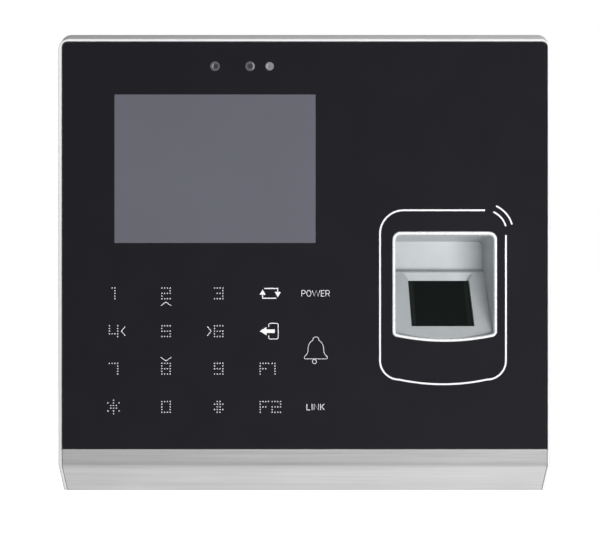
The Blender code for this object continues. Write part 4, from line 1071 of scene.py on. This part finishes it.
def small_windows():
    centres = []
    for node in ("camera_lens", "light_sensor", "fill_light"):
        low, high = box_mm(node)
        centres.append((low + high) / 2)
    camera_x, sensor_x, light_x = (centre.x for centre in centres)
    z = centres[0].z
    tint = plain("window_tint", (0.085, 0.085, 0.091), 0.25, grain=1.0, depth=0.001).material
    dark = plain("pupil_dark", (0.030, 0.032, 0.035), 0.12, grain=1.0, depth=0.001).material
    pale = plain("window_pale", (0.19, 0.19, 0.195), 0.3, grain=0.5, depth=0.002, tone=0.35).material
    glint = plain("window_glint", (0.28, 0.28, 0.29), 0.3, grain=0.6, depth=0.001).material

    def disc(name, x, radius, look, lift):
        face = PRINT_FACE - lift
        profile = [(radius * 0.6, face - 0.006), (radius, face), (radius, PRINT_BACK)]
        piece(name, turned((x, z), profile), look)

    disc("camera_window", camera_x, 1.70, tint, 0.0)
    disc("camera_pupil", camera_x + 0.25, 0.85, dark, 0.008)
    glint_ring = stroke(arc((camera_x + 0.1, z), 0.95, 130, 215, 10), 0.34)
    piece("camera_glint", glint_ring, glint).location.y = -0.012 * MM
    disc("light_sensor_window", sensor_x, 1.70, tint, 0.0)
    die = rectangle(sensor_x - 0.75, sensor_x + 0.75, z - 0.8, z + 0.8)
    piece("light_sensor_die", prism(die, PRINT_FACE - 0.015, PRINT_BACK), dark)
    crescent = stroke(arc((sensor_x, z), 1.42, -55, 50, 12), 0.32)
    piece("light_sensor_glint", crescent, glint).location.y = -0.012 * MM
    disc("fill_light_window", light_x, 1.50, pale, 0.0)
    crescent = stroke(arc((light_x, z), 0.95, 120, 230, 12), 0.5)
    piece("fill_light_glint", crescent, glint).location.y = -0.012 * MM


# ---- Looks of the CAD nodes that stay: material, edge rounding and nodes ------------------------

NODE_LOOKS = (
    (ZINC, 0.2, "wall_plate"),
    (COVER_BLACK, 0.3, "rear_cover"),
    (PART_BLACK, 0.2, "sensor_camera inner_carrier battery_holder speaker"),
    (PART_BLACK, 0.1, "camera_barrel light_sensor tamper_switch reset_button"),
    (BOARD, 0.0, "sensor_board card_antenna key_led_board camera_board main_board"),
    (AMBER, 0.0, "sensor_cable lcd_flex touch_key_film"),
    (RUBBER, 0.15, "usb_cover"),
    (RUBBER, 0.0, "glass_tape speaker_gasket perimeter_seal"),
    (WHITE, 0.1, "lcd_backlight key_light_guide tamper_plunger"),
    (DISPLAY, 0.1, "lcd_panel"),
    (LENS, 0.1, "camera_lens"),
    (ACRYLIC, 0.1, "sensor_prism fill_light"),
    (BLUE, 0.0, "door_relay"),
    (GREEN, 0.15, "power_block lock_block"),
    (TIN, 0.15, "processor_shield ethernet_jack"),
    (TIN, 0.1, "lcd_frame reset_switch"),
    (TIN, 0.08, "usb_port"),
    (TIN, 0.0, "microphone"),
    (NICKEL, 0.1, "lock_screw"),
    (NICKEL, 0.0, "coin_battery tamper_spring"),
)


def dress_cad_nodes():
    screws = " ".join(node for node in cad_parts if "_screw_" in node)
    looks = {
        node: (look, edge)
        for look, edge, nodes in (*NODE_LOOKS, (NICKEL, 0.0, screws))
        for node in nodes.split()
    }
    for node, (look, edge) in looks.items():
        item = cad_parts[node]
        item.data.materials.clear()
        item.data.materials.append(look)
        if edge:
            soften(item, edge, 2, 35)


# ---- Stage ---------------------------------------------------------------------------------------

TENT_BELOW = 0.90
TENT_ABOVE = 0.50
TENT_LEFT = 0.52
TENT_RIGHT = 1.22
TENT_BEHIND_CAMERA = 0.22

# Camera, in millimetres; the view width is measured at the front plane
CAMERA_X = -1.66
CAMERA_Z = -2.03
CAMERA_DISTANCE = 420.0
VIEW_WIDTH = 214.1


def area_light(name, place, target, size, power):
    light = bpy.data.lights.new(name, "AREA")
    light.shape = "RECTANGLE"
    light.size, light.size_y = size
    light.energy = power
    item = bpy.data.objects.new(name, light)
    bpy.context.scene.collection.objects.link(item)
    item.location = place
    item.rotation_euler = (Vector(target) - Vector(place)).to_track_quat("-Z", "Y").to_euler()
    return item


def recess_spot():
    """A narrow soft spot that lifts the recess's back wall and right side."""
    light = bpy.data.lights.new("recess_spot", "SPOT")
    light.energy = 22.0
    light.spot_size = math.radians(1.9)
    light.spot_blend = 0.7
    light.shadow_soft_size = 0.02
    item = bpy.data.objects.new("recess_spot", light)
    bpy.context.scene.collection.objects.link(item)
    place = Vector((-0.06, -0.9, -0.02))
    target = Vector((WINDOW_X + 11.0, WELL_WALL_Y, 5.0)) * MM
    item.location = place
    item.rotation_euler = (target - place).to_track_quat("-Z", "Y").to_euler()
    return item


def studio_world():
    """White to the camera; to everything else a tent, bright below, dim above and behind the camera."""
    world = bpy.data.worlds.new("tent")
    world.use_nodes = True
    tree = world.node_tree
    tree.nodes.clear()

    def node(kind, **values):
        made = tree.nodes.new(kind)
        for key, value in values.items():
            setattr(made, key, value)
        return made

    def ramp(source, start, end, low, high):
        step = node("ShaderNodeMapRange", interpolation_type="SMOOTHSTEP")
        tree.links.new(source, step.inputs["Value"])
        for key, value in (("From Min", start), ("From Max", end), ("To Min", low), ("To Max", high)):
            step.inputs[key].default_value = value
        return step.outputs["Result"]

    def product(a, b):
        step = node("ShaderNodeMath", operation="MULTIPLY")
        tree.links.new(a, step.inputs[0])
        tree.links.new(b, step.inputs[1])
        return step.outputs[0]

    split = node("ShaderNodeSeparateXYZ")
    tree.links.new(node("ShaderNodeTexCoord").outputs["Generated"], split.inputs[0])
    height = ramp(split.outputs["Z"], -0.75, 0.45, TENT_BELOW, TENT_ABOVE)
    behind_camera = ramp(split.outputs["Y"], -0.97, -0.62, TENT_BEHIND_CAMERA, 1.0)
    soft = node("ShaderNodeBackground")
    across = ramp(split.outputs["X"], -0.35, 0.35, TENT_LEFT, TENT_RIGHT)
    tree.links.new(product(product(height, across), behind_camera), soft.inputs["Strength"])
    white = node("ShaderNodeBackground")
    white.inputs["Color"].default_value = (1, 1, 1, 1)
    soft.inputs["Color"].default_value = (1, 1, 1, 1)
    mix = node("ShaderNodeMixShader")
    tree.links.new(node("ShaderNodeLightPath").outputs["Is Camera Ray"], mix.inputs[0])
    tree.links.new(soft.outputs[0], mix.inputs[1])
    tree.links.new(white.outputs[0], mix.inputs[2])
    tree.links.new(mix.outputs[0], node("ShaderNodeOutputWorld").inputs["Surface"])
    bpy.context.scene.world = world


def floor():
    """A pale, faintly glowing floor that only the camera sees, so that the glass does not mirror it."""
    mesh = bpy.data.meshes.new("floor")
    half, z = 6.0, -0.16
    corners = [(-half, -half, z), (half, -half, z), (half, half, z), (-half, half, z)]
    mesh.from_pydata(corners, [], [(0, 1, 2, 3)])
    item = bpy.data.objects.new("floor", mesh)
    bpy.context.scene.collection.objects.link(item)
    look = Finish("floor_white", (0.90, 0.90, 0.90), 0.8)
    look.tint(look.spread(look.noise(120.0, 2.0), 0.99, 1.01))
    look.set("Emission Color", (1, 1, 1, 1))
    look.set("Emission Strength", 0.78)
    mesh.materials.append(look.material)
    item.visible_diffuse = False
    item.visible_glossy = False
    item.visible_shadow = False


def camera():
    """At the photograph's place: level, straight on, 420 mm in front of the glass."""
    data = bpy.data.cameras.new("camera")
    data.sensor_width = 36.0
    data.lens = data.sensor_width * CAMERA_DISTANCE / VIEW_WIDTH
    data.clip_start = 0.01
    item = bpy.data.objects.new("camera", data)
    bpy.context.scene.collection.objects.link(item)
    item.location = Vector((CAMERA_X, FRONT_Y - CAMERA_DISTANCE, CAMERA_Z)) * MM
    item.rotation_euler = (math.pi / 2, 0, 0)
    bpy.context.scene.camera = item


def stage():
    studio_world()
    floor()
    lights = [
        area_light("key", (0.28, -0.92, -0.26), (0, 0, 0), (0.42, 0.35), 11.7),
        area_light("fill", (-0.72, -0.66, -0.1), (0, 0, 0), (0.4, 0.8), 0.6),
        area_light("back", (0.2, 0.9, 0.5), (0, 0, 0), (0.8, 0.6), 5.0),
        recess_spot(),
    ]
    for light in lights:
        light.visible_glossy = False
    camera()
    scene = bpy.context.scene
    scene.view_settings.view_transform = "Standard"
    scene.view_settings.look = "None"


front_frame()
front_glass()
trim_strip()
sensor_well()
sensor_rim()
sensor_window()
display_window()
small_windows()
keypad_print()
chevrons()
loop_icon()
exit_icon()
bell_icon()
label("label_power", "POWER", LABEL_X, KEY_ROWS[0], 2.1, 0.46, 0.19)
label("label_link", "LINK", LABEL_X, KEY_ROWS[3], 2.15, 0.72, 0.21)
reading_zone()
dress_cad_nodes()
stage()
